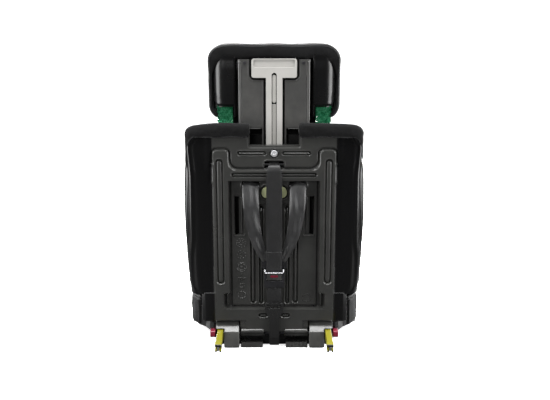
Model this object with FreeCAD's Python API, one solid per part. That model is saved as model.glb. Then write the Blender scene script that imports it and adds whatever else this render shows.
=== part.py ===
import FreeCAD, Part
import math
import os
from FreeCAD import Vector as V

# Child car seat with a five-point harness: a booster base, a high backrest that hinges on an axle at the
# base's rear edge, and a headrest that slides in a channel inside the backrest.
# Units are millimetres. The seat faces -Y, its rear faces +Y, +Z is up; the origin is on the floor plane
# under the middle of the base. Everything above the recline axle is drawn upright and then tilted back.

# ---- driving dimensions -------------------------------------------------------------------------------
RECLINE = 8.0                 # backrest angle from upright, degrees
PIVOT = V(0, 186, 36)         # recline axle, middle
AXLE_R = 6.0
RUNNING = 0.06                # radial clearance of pins in their bores

BACK_HALF = 152.0             # half width of the flat rear panel
REAR = 200.0                  # rear plane of the pillars and beams
PANEL = 188.0                 # rear plane of the recessed middle panel
BACK_LOW = 78.0               # lower edge of the rear panel
BLOCK_HALF = 94.5             # half width of the box that holds the headrest channel
BLOCK_TOP = 556.0
WALL_FRONT = 152.0            # front face of the channel's front wall
CHANNEL = (157.0, 178.0)      # channel depth, front to rear
CHANNEL_HALF = 90.5
PILLAR = (111.0, 152.0)       # pillar sides
PILLAR_TOP = 522.0
BEAM = (444.0, 480.0, 533.0)  # lower edge, step and upper edge of the cross beam
SKIN = 4.0                    # moulded wall
WING_REAR = 197.0             # rear face of the side wing's skin
WING_R = 30.0                 # radius where the skin turns forward
WING_FLARE = 4.0
# height, half width and front edge of the side wing, from its foot to the shoulder
WING = [(145, 216, 112), (230, 225, 72), (343, 229, 52), (430, 227, 52), (507, 224, 70), (562, 215, 104)]
COVER_LIP = (15.0, 7.0)       # how far the wing's fabric reaches in front of the skin and outside it

HEAD_TOP = 778.0
HEAD_LOW = 590.0
HEAD_HALF = 164.0
HEAD_RIM = 16.0
SHELL_HALF = 147.0            # headrest shell
SHELL_REAR = 165.0
SHELL_R = 28.0
SHELL_LOW = 624.0             # lower edge of its rear face
PLATE_HALF = 88.0             # carriage plate
PLATE = (164.0, 174.0)
PLATE_Z = (505.0, 741.0)
POCKET_Y = 168.0              # floor of the T pocket in the carriage plate
T_BAR = (55.5, 697.0, 743.0)  # half width, lower and upper edge of the T handle's bar
T_STEM = 20.2
T_SLOT = 6.2
T_Y = (168.5, 176.5)
HARNESS_X = 59.0
WEB = 38.0                    # harness webbing width
WEB_T = 1.6

BASE_HALF = 230.0
BASE_FRONT = -235.0
DECK = 90.0                   # top of the base under the cushion
BASE_REAR = 150.0
ARM_X = 140.0                 # the anchor connectors are 280 mm apart
ARM_SLOPE = 10.0              # they slope down to the rear, degrees
ARM_W = 15.0
ARM_H = 20.0
BAR_R = 3.0                   # vehicle anchor bar
HOUSING = (91.0, 152.0)


# ---- drawing helpers ----------------------------------------------------------------------------------
PLANES = {
    "xy": (lambda a, b: V(a, b, 0), V(0, 0, 1)),
    "xz": (lambda a, b: V(a, 0, b), V(0, 1, 0)),
    "yz": (lambda a, b: V(0, a, b), V(1, 0, 0)),
}


def prism(plane, points, low, high, radius=0.0):
    """Outline of (a, b) or (a, b, corner radius) points, extruded from low to high."""
    place, normal = PLANES[plane]
    corners = [(place(p[0], p[1]), p[2] if len(p) > 2 else radius) for p in points]
    starts, arcs, ends = [], [], []
    for i, (corner, r) in enumerate(corners):
        to_before = (corners[i - 1][0] - corner).normalize()
        to_after = (corners[(i + 1) % len(corners)][0] - corner).normalize()
        half = to_before.getAngle(to_after) / 2
        if r <= 0 or half > math.pi / 2 - 0.01:
            starts.append(corner)
            arcs.append(None)
            ends.append(corner)
            continue
        cut = r / math.tan(half)
        start = corner + to_before * cut
        end = corner + to_after * cut
        middle = corner + (to_before + to_after).normalize() * (r / math.sin(half) - r)
        starts.append(start)
        arcs.append(Part.Arc(start, middle, end).toShape())
        ends.append(end)
    edges = []
    for i, arc in enumerate(arcs):
        if arc:
            edges.append(arc)
        following = starts[(i + 1) % len(starts)]
        if (following - ends[i]).Length > 1e-6:
            edges.append(Part.makeLine(ends[i], following))
    solid = Part.Face(Part.Wire(edges)).extrude(normal * (high - low))
    solid.translate(normal * low)
    return solid


def box(x0, x1, y0, y1, z0, z1):
    return Part.makeBox(x1 - x0, y1 - y0, z1 - z0, V(x0, y0, z0))


def plate_xz(x0, x1, z0, z1, y0, y1, radius=0.0):
    """Plate facing the rear, with rounded corners."""
    return prism("xz", [(x0, z0), (x1, z0), (x1, z1), (x0, z1)], y0, y1, radius)


def plate_xy(x0, x1, y0, y1, z0, z1, radius=0.0):
    return prism("xy", [(x0, y0), (x1, y0), (x1, y1), (x0, y1)], z0, z1, radius)


def rod(radius, length, start, direction):
    return Part.makeCylinder(radius, length, start, direction)


def mirrored(shape):
    return shape.mirror(V(0, 0, 0), V(1, 0, 0))


def pair(shape):
    return [shape, mirrored(shape)]


def fused(shapes):
    first = shapes[0]
    whole = first.fuse(shapes[1:]) if len(shapes) > 1 else first
    return whole.removeSplitter()


def cut(shape, tools):
    return shape.cut(tools)


def tilted(shape):
    """Turns a backrest shape from upright to its resting recline."""
    turned = shape.copy()
    turned.rotate(PIVOT, V(-1, 0, 0), RECLINE)
    return turned


def ribbon(points, width, thickness, x_path=None):
    """Webbing along (y, z) points. Its middle follows x_path, or stays at x = 0."""
    middles = x_path or [0.0] * len(points)
    pieces = []
    for i in range(len(points) - 1):
        a = V(middles[i], *points[i])
        b = V(middles[i + 1], *points[i + 1])
        along = V(0, b.y - a.y, b.z - a.z).normalize()
        normal = V(0, -along.z, along.y)
        corners = []
        for end in (a, b):
            for side, face in ((-1, -1), (1, -1), (1, 1), (-1, 1)):
                corners.append(end + V(side * width / 2, 0, 0) + normal * (face * thickness / 2))
        loops = [corners[:4], corners[4:]]
        wires = [Part.makePolygon(loop + [loop[0]]) for loop in loops]
        pieces.append(Part.makeLoft(wires, True, True))
        if i:
            joint = rod(thickness / 2, width, V(a.x - width / 2, a.y, a.z), V(1, 0, 0))
            pieces.append(joint)
    return fused(pieces)


def save(name, *shapes):
    solids = [solid for shape in shapes for solid in shape.Solids]
    for solid in solids:
        if not solid.isValid() or solid.Volume <= 0:
            raise ValueError(name + " has a bad solid")
    whole = solids[0] if len(solids) == 1 else Part.makeCompound(solids)
    whole.exportStep("parts/" + name + ".step")


# ---- side wing sections -------------------------------------------------------------------------------
def wing_wire(height, half, front, outside, inside, start):
    """Band between two offsets of the wing's rear-and-side curve, as a closed wire at one height."""
    turn = V(half - WING_R, WING_REAR - WING_R, height)

    def side(offset):
        radius = WING_R - offset
        back = V(turn.x, turn.y + radius, height)
        bend = turn + V(radius * math.sqrt(0.5), radius * math.sqrt(0.5), 0)
        flank = V(turn.x + radius, turn.y, height)
        return back, bend, flank, V(half + WING_FLARE - offset, front, height)

    back_o, bend_o, flank_o, edge_o = side(outside)
    back_i, bend_i, flank_i, edge_i = side(inside)
    first_o = V(start, back_o.y, height)
    first_i = V(start, back_i.y, height)
    edges = [
        Part.makeLine(first_o, back_o),
        Part.Arc(back_o, bend_o, flank_o).toShape(),
        Part.makeLine(flank_o, edge_o),
        Part.makeLine(edge_o, edge_i),
        Part.makeLine(edge_i, flank_i),
        Part.Arc(flank_i, bend_i, back_i).toShape(),
        Part.makeLine(back_i, first_i),
        Part.makeLine(first_i, first_o),
    ]
    return Part.Wire(edges)


def wing_band(outside, inside, start, sections, front_gap=0.0):
    wires = [wing_wire(z, half, front + front_gap, outside, inside, start) for z, half, front in sections]
    return Part.makeLoft(wires, True, False)


# ---- backrest -----------------------------------------------------------------------------------------
def racetrack(x0, x1, z0, z1, level, depth, bar):
    """Groove with rounded ends around a raised bar: the groove to cut and the bar to put back."""
    end = min(x1 - x0, z1 - z0) / 2 - 0.01
    moat = (min(x1 - x0, z1 - z0) - bar) / 2
    groove = plate_xz(x0, x1, z0, z1, level - depth, level + 1, end)
    inner = plate_xz(x0 + moat, x1 - moat, z0 + moat, z1 - moat,
                     level - depth - 0.5, level - 1.0, bar / 2 - 0.01)
    return groove, inner


def back_shell():
    inner, outer = PILLAR
    beam_low, beam_step, beam_top = BEAM
    body = [
        box(-BLOCK_HALF, BLOCK_HALF, WALL_FRONT, PANEL, BACK_LOW, BLOCK_TOP - 40),
        plate_xz(-BLOCK_HALF, BLOCK_HALF, BACK_LOW, BLOCK_TOP, WALL_FRONT, PANEL, 4),
        plate_xz(-BACK_HALF, BACK_HALF, BACK_LOW, beam_top, PANEL - 5, PANEL, 6),
        plate_xz(-BACK_HALF, BACK_HALF, beam_step - 10, beam_top, PANEL - 1, REAR - 4, 6),
        plate_xz(-inner, inner, beam_low, beam_step, PANEL - 1, REAR, 0),
        plate_xz(-BACK_HALF, BACK_HALF, BACK_LOW, 110, PANEL - 1, REAR, 4),
    ]
    for shape in pair(plate_xz(inner, outer, BACK_LOW, PILLAR_TOP, PANEL - 1, REAR, 6)):
        body.append(shape)
    wing = wing_band(0, SKIN, BLOCK_HALF - 6, WING)
    ear = prism("xy", [(148, 197), (176, 196), (188, 186), (186, 180), (148, 183)], 72, 150, 2)
    knuckle = rod(10, 57, V(30, PIVOT.y, PIVOT.z), V(1, 0, 0))
    skirt = box(30, 87, 187, 196, PIVOT.z, BACK_LOW + 8)
    rib = plate_xz(50, 64, 118, 350, PANEL - 1, PANEL + 2, 6.9)
    for shape in (wing, ear, knuckle, skirt, rib):
        body += pair(shape)
    shell = fused(body)

    channel_front, channel_rear = CHANNEL
    tools = [
        box(-CHANNEL_HALF, CHANNEL_HALF, channel_front, channel_rear, BACK_LOW - 10, BLOCK_TOP + 10),
        plate_xz(-37.5, 37.5, 106, 383, 181, PANEL + 6, 4),
        plate_xz(-34, 34, 396, 429, 182, PANEL + 6, 16),
        plate_xz(-23.5, 23.5, 477, 493, channel_rear - 5, REAR + 1, 7.5),
        rod(AXLE_R + RUNNING, 200, V(-100, PIVOT.y, PIVOT.z), V(1, 0, 0)),
        rod(4.1, 30, V(0, channel_rear - 5, 514), V(0, 1, 0)),
        rod(3.1, 60, V(-30, 188, 485), V(1, 0, 0)),
        box(-60, 60, PANEL, REAR + 1, beam_top - 8, beam_top + 1),
    ]
    slots = [
        plate_xz(36, 82, 426, 443, WALL_FRONT - 1, PANEL + 1, 3),
        plate_xz(78, 98, 303, 402, channel_rear - 1, PANEL + 1, 3),
        plate_xz(115, 133, 102, 145, PANEL - 2, REAR + 1, 3),
    ]
    for shape in slots:
        tools += pair(shape)
    bars = []
    grooves = [
        (129, 146, 175, 500, REAR, 5.0, 11.5),
        (20, 91, 509, 519, REAR - 4, 3.5, 5.0),
        (20, 46, 81, 90, REAR, 3.5, 4.0),
    ]
    for numbers in grooves:
        groove, bar = racetrack(*numbers)
        tools += pair(groove)
        bars += pair(bar)
    groove, bar = racetrack(-106, 106, 455, 465, REAR, 3.5, 5.0)
    tools.append(groove)
    bars.append(bar)
    shell = cut(shell, tools)
    rails = pair(plate_xz(79, 88, 300, 550, channel_front - 1, 162, 1))
    return fused([shell] + bars + rails)


def backrest():
    save("back_shell", tilted(back_shell()))

    pad_plan = [(0, 118), (150, 118, 12), (165, 124, 6), (165, 181, 2), (103, 181),
                (103, 150.5), (0, 150.5)]
    half = prism("xy", pad_plan, 152, 420)
    save("back_pad", tilted(fused(pair(half))))
    save("wing_covers", *[tilted(shape) for shape in pair(wing_cover())])
    save("back_upper_lining", tilted(plate_xz(-94, 94, 446, 585, 148.6, 151.4, 6)))

    roll_side = [(178.5, 565), (178.5, 588), (204, 588), (204, 554), (198, 554), (198, 572), (192, 574)]
    roll = prism("yz", roll_side, 60, 223, 1.5)
    roll_plan = [(59, 500), (59, 588), (180, 588, 120), (222.5, 574, 22), (222.5, 500)]
    roll_trim = prism("xz", roll_plan, 150, 230)
    save("shoulder_rolls", *[tilted(shape) for shape in pair(roll.common(roll_trim))])

    bar = rod(3.0, 59, V(-29.5, 188, 485), V(1, 0, 0))
    save("tether_bar", tilted(bar))
    shank = rod(4.0, 17, V(0, 183, 514), V(0, 1, 0))
    head = rod(8.0, 4, V(0, 198.2, 514), V(0, 1, 0))
    socket = prism("xz", [(2.6 * math.cos(a), 514 + 2.6 * math.sin(a)) for a in
                          [math.radians(60 * i) for i in range(6)]], 200, 203)
    save("beam_bolt", tilted(fused([shank, head]).cut(socket)))
    washer = rod(10.5, 2, V(0, 196.1, 514), V(0, 1, 0)).cut(rod(4.3, 4, V(0, 195, 514), V(0, 1, 0)))
    save("beam_washer", tilted(washer))
    anchor = plate_xz(-32, 32, 398, 427, 182.2, 187.2, 14)
    save("harness_anchor_plate", tilted(anchor))

    notches = [box(-6, 6, 158.4, 161, z, z + 8) for z in range(378, 520, 18)]
    rack = plate_xz(-9, 9, 368, 526, channel_face(), 159.4, 2).cut(notches)
    save("height_rack", tilted(rack))


def wing_cover():
    """Padding inside the wing, folded round the wing's front edge."""
    forward, outward = COVER_LIP
    lining = wing_band(SKIN + 1.2, 24, 130, WING, -2)
    lining = lining.cut(box(100, 168.5, 100, 200, 100, 600))
    wires = []
    for height, half, front in WING:
        edge = half + WING_FLARE
        corners = [(edge - 24, front - forward), (edge + outward, front - forward),
                   (edge + outward, front - 1), (edge - 24, front - 1)]
        points = [V(x, y, height) for x, y in corners]
        wires.append(Part.makePolygon(points + points[:1]))
    cover = fused([lining, Part.makeLoft(wires, True, False)])
    return cover.common(box(100, 260, 0, 220, 152, 550))


def channel_face():
    return CHANNEL[0] + 0.05


# ---- headrest -----------------------------------------------------------------------------------------
def head_wing(outside, inside, start, low, high, front):
    """Constant section of the headrest wing between two offsets of its curve."""
    turn = (SHELL_HALF - SHELL_R, SHELL_REAR - SHELL_R)

    def corner(offset):
        radius = SHELL_R - offset
        back = V(turn[0], turn[1] + radius, low)
        bend = V(turn[0] + radius * math.sqrt(0.5), turn[1] + radius * math.sqrt(0.5), low)
        flank = V(turn[0] + radius, turn[1], low)
        return back, bend, flank, V(turn[0] + radius, front, low)

    back_o, bend_o, flank_o, edge_o = corner(outside)
    back_i, bend_i, flank_i, edge_i = corner(inside)
    first_o = V(start, back_o.y, low)
    first_i = V(start, back_i.y, low)
    wire = Part.Wire([
        Part.makeLine(first_o, back_o),
        Part.Arc(back_o, bend_o, flank_o).toShape(),
        Part.makeLine(flank_o, edge_o),
        Part.makeLine(edge_o, edge_i),
        Part.makeLine(edge_i, flank_i),
        Part.Arc(flank_i, bend_i, back_i).toShape(),
        Part.makeLine(back_i, first_i),
        Part.makeLine(first_i, first_o),
    ])
    return Part.Face(wire).extrude(V(0, 0, high - low))


def headrest():
    top = 746.0
    inner = BLOCK_HALF + 1
    wing = head_wing(0, SKIN, inner, 600, top, 30)
    wing = wing.cut(box(60, SHELL_HALF - SKIN, 118, 180, 580, SHELL_LOW))
    step = box(inner, inner + SKIN, 142, SHELL_REAR - 1, SHELL_LOW, top)
    boss = rod(6, PLATE[0] - 145.9, V(72, 145, 733), V(0, 1, 0))
    boss = boss.cut(rod(1.9, 30, V(72, 140, 733), V(0, 1, 0)))
    wall = box(-inner - SKIN, inner + SKIN, 142, 146, 600, top)
    shell = fused([wall] + [s for shape in (wing, step, boss) for s in pair(shape)])
    face = [(-SHELL_HALF, 580), (-SHELL_HALF, top, 34), (SHELL_HALF, top, 34), (SHELL_HALF, 580)]
    trim = prism("xz", face, 0, 200)
    save("headrest_shell", tilted(shell.common(trim)))

    plan = [(0, 108), (84, 108, 18), (116, 78, 26), (120, 26, 8), (142, 26, 8), (142, 116, 2),
            (96, 116), (96, 141), (0, 141)]
    cushion = fused(pair(prism("xy", plan, 600, 744)))
    rounding = prism("xz", [(-146, 600, 16), (-146, 744, 34), (146, 744, 34), (146, 600, 16)], 0, 200)
    save("headrest_pad", tilted(cushion.common(rounding)))

    outer = plate_xz(-HEAD_HALF, HEAD_HALF, HEAD_LOW, HEAD_TOP, 22, 150, 20)
    outer = outer.common(plate_xz(-HEAD_HALF, HEAD_HALF, HEAD_LOW - 60, HEAD_TOP, 22, 150, 42))
    inner_half = HEAD_HALF - HEAD_RIM
    hollow = plate_xz(-inner_half, inner_half, HEAD_LOW - 60, top + 3, 0, 170, 34)
    rim = outer.cut(hollow)
    lip = plate_xz(-120, 120, top + 3, HEAD_TOP - 4, 149, 166, 10)
    save("headrest_rim", tilted(fused([rim, lip])))

    core = prism("xy", [(103, 119, 3), (142, 119, 3), (142, 147, 20), (103, 147, 3)], 588, 722)
    save("impact_cores", *[tilted(shape) for shape in pair(core)])

    plate = plate_xz(-PLATE_HALF, PLATE_HALF, *PLATE_Z, *PLATE, 4)
    bar_half, bar_low, bar_top = T_BAR
    gap = 4.5
    pocket = [
        prism("xz", [(-bar_half - gap, bar_low - gap, 8), (bar_half + gap, bar_low - gap, 8),
                     (bar_half + gap, 760), (-bar_half - gap, 760)], POCKET_Y, 180),
        box(-T_STEM - gap, T_STEM + gap, POCKET_Y, 180, 500, bar_low),
        rod(3.3, 20, V(0, 160, 514), V(0, 1, 0)),
    ]
    for shape in (plate_xz(30, 81, 480, 572, 160, 180, 5), rod(2.1, 20, V(72, 160, 733), V(0, 1, 0))):
        pocket += pair(shape)
    save("carriage_plate", tilted(plate.cut(pocket)))

    screws = []
    for side in (-1, 1):
        head = rod(4, 2.2, V(72 * side, PLATE[1] + 0.05, 733), V(0, 1, 0))
        shank = rod(1.85, 24, V(72 * side, PLATE[1] - 23, 733), V(0, 1, 0))
        screws.append(tilted(fused([head, shank])))
    save("plate_screws", *screws)

    bar = plate_xz(-bar_half, bar_half, bar_low, bar_top, *T_Y, 6)
    stem = box(-T_STEM, T_STEM, *T_Y, 508, bar_low + 4)
    slot = prism("xz", [(-T_SLOT, 500), (T_SLOT, 500), (T_SLOT, 709, 6), (-T_SLOT, 709, 6)], 160, 180)
    grip = plate_xz(-51, 51, 722, 741, T_Y[1] - 2.5, 180, 5)
    save("t_handle", tilted(fused([bar, stem]).cut([slot, grip])))
    save("release_rod", tilted(plate_xz(-5, 5, 636, 704, 168.6, 174.6, 4.9)))
    save("lock_slider", tilted(plate_xz(-5, 5, 524, 633, 168.4, 173.4, 1.5)))
    save("lock_pin", tilted(rod(3.0, 11, V(0, 160, 514), V(0, 1, 0))))

    guide = plate_xy(108, 146, 44, 96, 591.0, 598.5, 8)
    guide = guide.cut(plate_xy(117, 160, 56, 84, 580, 610, 6))
    save("shoulder_belt_guides", *[tilted(shape) for shape in pair(guide)])
    gate = plate_xy(141, 145, 56.6, 83.4, 592.5, 597, 1.99)
    save("belt_guide_gate_left", tilted(gate))
    save("belt_guide_gate_right", tilted(mirrored(gate)))


# ---- harness and tether -------------------------------------------------------------------------------
def harness():
    rear_path = [(184.5, 438), (190.0, 431), (192.4, 420), (192.4, 330), (191.4, 252)]
    x_path = [HARNESS_X, HARNESS_X, HARNESS_X - 1, HARNESS_X - 14, 26]
    rear = ribbon(rear_path, WEB - 4, WEB_T, x_path)
    save("harness_rear_straps", *[tilted(shape) for shape in pair(rear)])

    yoke = plate_xz(-34, 34, 212, 246, 184.6, 187.6, 6)
    windows = [shape for shape in pair(plate_xz(6, 28, 232, 240, 180, 190, 1))]
    windows.append(plate_xz(-14, 14, 217, 225, 180, 190, 1))
    save("harness_yoke", tilted(yoke.cut(windows)))
    save("adjuster_strap_rear", tilted(ribbon([(183.4, 224), (183.4, 112)], 25, WEB_T)))

    front_path = [(148.5, 432), (122, 429), (114.6, 421), (114.6, 300), (62, 260), (-26, 222), (-46, 214)]
    front_x = [HARNESS_X, HARNESS_X, HARNESS_X, HARNESS_X - 10, 38, 22, 19]
    front = ribbon(front_path, WEB - 4, WEB_T, front_x)
    save("shoulder_straps", *[tilted(shape) for shape in pair(front)])
    pad = ribbon([(106.5, 412), (106.5, 300)], WEB + 12, 13, [HARNESS_X, HARNESS_X - 9])
    save("shoulder_pads", *[tilted(shape) for shape in pair(pad)])

    strap = ribbon([(191.6, 484), (200, 481.5), (203.4, 474), (203.4, 262), (204.2, 214)], WEB, WEB_T)
    eye_start = V(-WEB / 2, 188, 485)
    eye = rod(5.4, WEB, eye_start, V(1, 0, 0)).cut(rod(3.8, WEB, eye_start, V(1, 0, 0)))
    save("tether_strap", tilted(fused([strap, eye])))

    body = plate_xz(-25, 25, 169, 212, 201.5, 210.8, 4)
    opening = plate_xz(-19.6, 19.6, 186, 208, 204.5, 212, 2)
    pin_start = V(-30, 207.6, 190)
    pin_bore = rod(1.5 + RUNNING, 60, pin_start, V(1, 0, 0))
    save("tether_adjuster", tilted(body.cut([opening, pin_bore])))
    lever = plate_xz(-19, 19, 190, 206.5, 205, 210.3, 1)
    barrel = rod(2.7, 38, V(-19, pin_start.y, pin_start.z), V(1, 0, 0))
    save("tether_release", tilted(fused([lever, barrel]).cut(pin_bore)))
    save("tether_release_pin", tilted(rod(1.5, 48, V(-24, pin_start.y, pin_start.z), V(1, 0, 0))))
    save("tether_tail", tilted(ribbon([(205.0, 168.2), (205.0, 127)], WEB - 4, WEB_T)))

    outline = [(-24, 126, 4), (24, 126, 4), (24, 104, 4), (13, 84, 6), (13, 40), (-13, 40),
               (-13, 84, 6), (-24, 104, 4)]
    hook = prism("xz", outline, 200.6, 208.6)
    hook = hook.cut(plate_xz(-18, 18, 112, 121, 190, 220, 2))
    shank = box(-13, 13, 197.0, 208.6, 30, 60)
    curl = rod(16, 26, V(-13, PIVOT.y, PIVOT.z), V(1, 0, 0))
    curl = curl.cut(rod(8.5, 40, V(-20, PIVOT.y, PIVOT.z), V(1, 0, 0)))
    curl = curl.cut(box(-20, 20, 160, 186, PIVOT.z - 6, 80))
    bridge = box(-13, 13, 194.2, 201, 30, 46).cut(rod(8.5, 40, V(-20, PIVOT.y, PIVOT.z), V(1, 0, 0)))
    tongue = plate_xz(-13, 13, 8, 34, 197.5, 202.5, 3)
    save("tether_hook", tilted(fused([hook, shank, curl, bridge, tongue])))
    gate = box(-9, 9, 171.2, 173.6, 33, 70)
    gate = fused([gate, box(-9, 9, 171.2, 194, 70, 73), rod(2.0, 18, V(-9, 194, 71.5), V(1, 0, 0))])
    save("hook_gate", tilted(gate))


# ---- base ---------------------------------------------------------------------------------------------
PLAN = [(0, BASE_FRONT), (150, BASE_FRONT, 40), (210, -200, 40), (226, -110, 120), (BASE_HALF, 40, 90),
        (204, 100, 40), (172, BASE_REAR, 14), (0, BASE_REAR)]


def plan_prism(inset, low, high):
    """The base's plan outline, drawn in by inset and mirrored, as one solid."""
    points = []
    for p in PLAN:
        x = max(0.0, p[0] - inset) if p[0] else 0.0
        y = p[1] + inset if p[1] < 0 else p[1] - inset
        points.append((x, y, p[2] if len(p) > 2 else 0))
    half = prism("xy", points, low, high)
    return fused(pair(half))


def arm_frame(shape):
    """Slopes a connector part down to the rear about the mouth of its housing."""
    turned = shape.copy()
    turned.rotate(V(0, 205, 38), V(1, 0, 0), -ARM_SLOPE)
    return turned


def base():
    body = plan_prism(0, 0, DECK)
    hollow = plan_prism(5, -1, DECK - 5)
    hollow = hollow.common(box(-300, 300, -300, BASE_REAR - 6, -1, 100))
    ribs = [box(x - 1.5, x + 1.5, BASE_FRONT + 3, -30, 8, DECK - 2) for x in (-60, 60)]
    ribs += [box(-215, 215, y - 1.5, y + 1.5, 50, DECK - 2) for y in (-160, -95)]
    ribs.append(box(-222, 222, -2.5, 2.5, 0, DECK - 2))
    shell = body.cut(hollow)
    inner = [rib.common(plan_prism(2, 0, DECK)) for rib in ribs]

    side = [(102, 60, 10), (102, 150, 20), (84, 206, 14), (-96, 196, 22), (-150, 150, 30), (-170, 60, 10)]
    arm = prism("yz", side, 174, BASE_HALF)
    arm = arm.common(plan_prism(0, 0, 260))
    hollow_side = [(96, -1), (96, 146, 16), (79, 201, 10), (-94, 191, 18), (-145, 147, 26), (-164, -1)]
    arm_hollow = prism("yz", hollow_side, 179, BASE_HALF)
    arm_hollow = arm_hollow.common(plan_prism(5, -1, 260))
    gap_side = [(110, 112), (110, 150), (40, 158, 8), (-40, 150, 10), (-52, 128, 10), (-40, 112, 8)]
    belt_gap = prism("yz", gap_side, 160, 240)
    arm = arm.cut([arm_hollow])
    shell = shell.cut([shape for shape in pair(arm_hollow)])
    rear_low = box(-BACK_HALF, BACK_HALF, BASE_REAR - 8, 168, 0, 66)
    rear_hollow = box(-88, 88, BASE_REAR - 10, 164, -1, 60)
    foot = plate_xy(30, 87, 160, 203, 0, 13, 3)
    corner = prism("xy", [(140, 140), (186, 128), (170, 168), (160, 182), (140, 182)], 22, 62, 3)
    shell = fused([shell, rear_low] + pair(arm) + pair(corner) + inner)
    tunnel = box(ARM_X - 10, ARM_X + 10, -10, 190, 24, 66)
    tunnel = tunnel.fuse(box(ARM_X - 10, HOUSING[1] + 0.4, 168.6, 190, 20, 70))
    heel = prism("yz", [(-70, -1), (-70, 0), (60, 34), (150, 38), (240, 38), (240, -1)], 156, 300)
    shell = shell.cut([rear_hollow] + pair(tunnel) + pair(belt_gap) + pair(heel))
    shell = fused([shell] + pair(foot))
    crotch = plate_xy(-24, 24, -70, -58, DECK - 10, DECK + 5, 5)
    lap = plate_xy(166, 171, 92, 134, DECK - 10, DECK + 5, 1)
    front_slot = plate_xz(-16, 16, 40, 44, BASE_FRONT - 5, BASE_FRONT + 10, 1)
    shell = shell.cut([crotch, front_slot] + pair(lap))
    save("base_shell", shell)

    guide_side = [(64, 112.4), (64, 117.2, 1), (-36.5, 117.2, 4), (-45.6, 128, 5), (-38.8, 141, 0.8),
                  (-43.5, 143, 0.8),
                  (-51.4, 128, 10), (-39.7, 112.4, 8)]
    guide = prism("yz", guide_side, 176, 224)
    guide = guide.common(plan_prism(1, 0, 260))
    save("lap_belt_guides", *pair(guide))

    plan = [(0, -232), (140, -232, 40), (170, -196, 30), (172, 0, 200), (164, 128, 10), (0, 128)]
    cushion = prism("xy", plan, 91, 134)
    cushion = fused(pair(cushion)).cut(plate_xy(-26, 26, -72, -56, 80, 140, 6))
    cushion = cushion.cut(plate_xy(-34, 34, -260, -206, 80, 140, 6))
    save("seat_pad", cushion)

    outer = [(106, 40), (106, 151, 22), (87, 210, 16), (-97, 200, 24), (-153, 153, 32), (-174, 60),
             (-174, 40)]
    under = [(102.4, 30), (102.4, 150.2, 20), (84.3, 206.4, 14), (-96.2, 196.4, 22), (-150.3, 150.2, 30),
             (-170.4, 58),
             (-170.4, 30)]
    opening = [(120, 106), (120, 156), (40, 164, 10), (-44, 156, 12), (-57, 128, 12), (-44, 106, 10)]
    gap = prism("yz", opening, 100, 260)
    cover = prism("yz", outer, 176, 240).common(plan_prism(-3.2, 30, 230))
    cover = cover.cut(prism("yz", under, 100, 240).common(plan_prism(-0.4, 20, 240)))
    cover = cover.cut([plan_prism(-0.4, 0, 91), gap])
    save("side_covers", *pair(cover))


def anchor_connectors():
    inner, outer = HOUSING
    profile = [(169, 2, 2), (169, 68, 2), (190, 68, 3), (212, 44, 4), (214, 2, 5)]
    housing = prism("yz", profile, inner, outer)
    tunnel = arm_frame(box(ARM_X - 10, ARM_X + 20, 120, 240, -30, 50.5))
    bore = rod(AXLE_R + RUNNING, 14, V(inner - 2, PIVOT.y, PIVOT.z), V(1, 0, 0))
    housing = housing.cut([tunnel, bore])
    save("connector_housings", *pair(housing))
    save("recline_axle", rod(AXLE_R, 2 * inner + 16, V(-inner - 8, PIVOT.y, PIVOT.z), V(1, 0, 0)))

    x0 = ARM_X - ARM_W / 2
    x1 = ARM_X + ARM_W / 2
    low = 38 - ARM_H / 2
    high = 38 + ARM_H / 2
    arm = box(x0, x1, 74, 272, low, high).cut(box(x0 + 2, x1 - 2, 70, 268, low + 2, high - 2))
    save("connector_arm_left", arm_frame(arm))
    save("connector_arm_right", arm_frame(mirrored(arm)))
    tip_side = [(272.1, low - 0.6, 2), (292, low - 0.6, 3), (292, high + 0.6, 3), (272.1, high + 0.6, 2)]
    tip = prism("yz", tip_side, x0 - 0.5, x1 + 0.5)
    throat = prism("yz", [(281, 38 - 3.1), (296, 38 - 5.6), (296, 38 + 5.6), (281, 38 + 3.1)], 100, 160)
    seat = rod(BAR_R + 0.08, 60, V(110, 281, 38), V(1, 0, 0))
    pocket = [box(ARM_X - 3.2, ARM_X + 3.2, 274, 294, low - 2, 36),
              box(ARM_X - 3.2, ARM_X + 3.2, 283.2, 294, 30, 41)]
    tip_left = tip.cut([throat, seat] + pocket)
    save("connector_tip_left", arm_frame(tip_left))
    save("connector_tip_right", arm_frame(mirrored(tip_left)))
    claw_side = [(275.5, 29, 2.64), (288.4, 29, 1.5), (288.4, 39, 1), (284.9, 39, 1), (284.5, 34.3, 0.5),
                 (275.5, 34.3, 2.64)]
    claw = prism("yz", claw_side, ARM_X - 2.5, ARM_X + 2.5)
    save("connector_claw_left", arm_frame(claw))
    save("connector_claw_right", arm_frame(mirrored(claw)))
    tube = rod(7, 2 * (ARM_X - ARM_W / 2) - 0.2, V(-(ARM_X - ARM_W / 2) + 0.1, 82, 38), V(1, 0, 0))
    save("connector_cross_tube", arm_frame(tube))

    button = prism("yz", [(184, 30, 2), (184, 48, 2), (213, 47, 4), (213, 30, 4)], 153.2, 166)
    save("connector_button_left", button)
    save("connector_button_right", mirrored(button))


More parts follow.
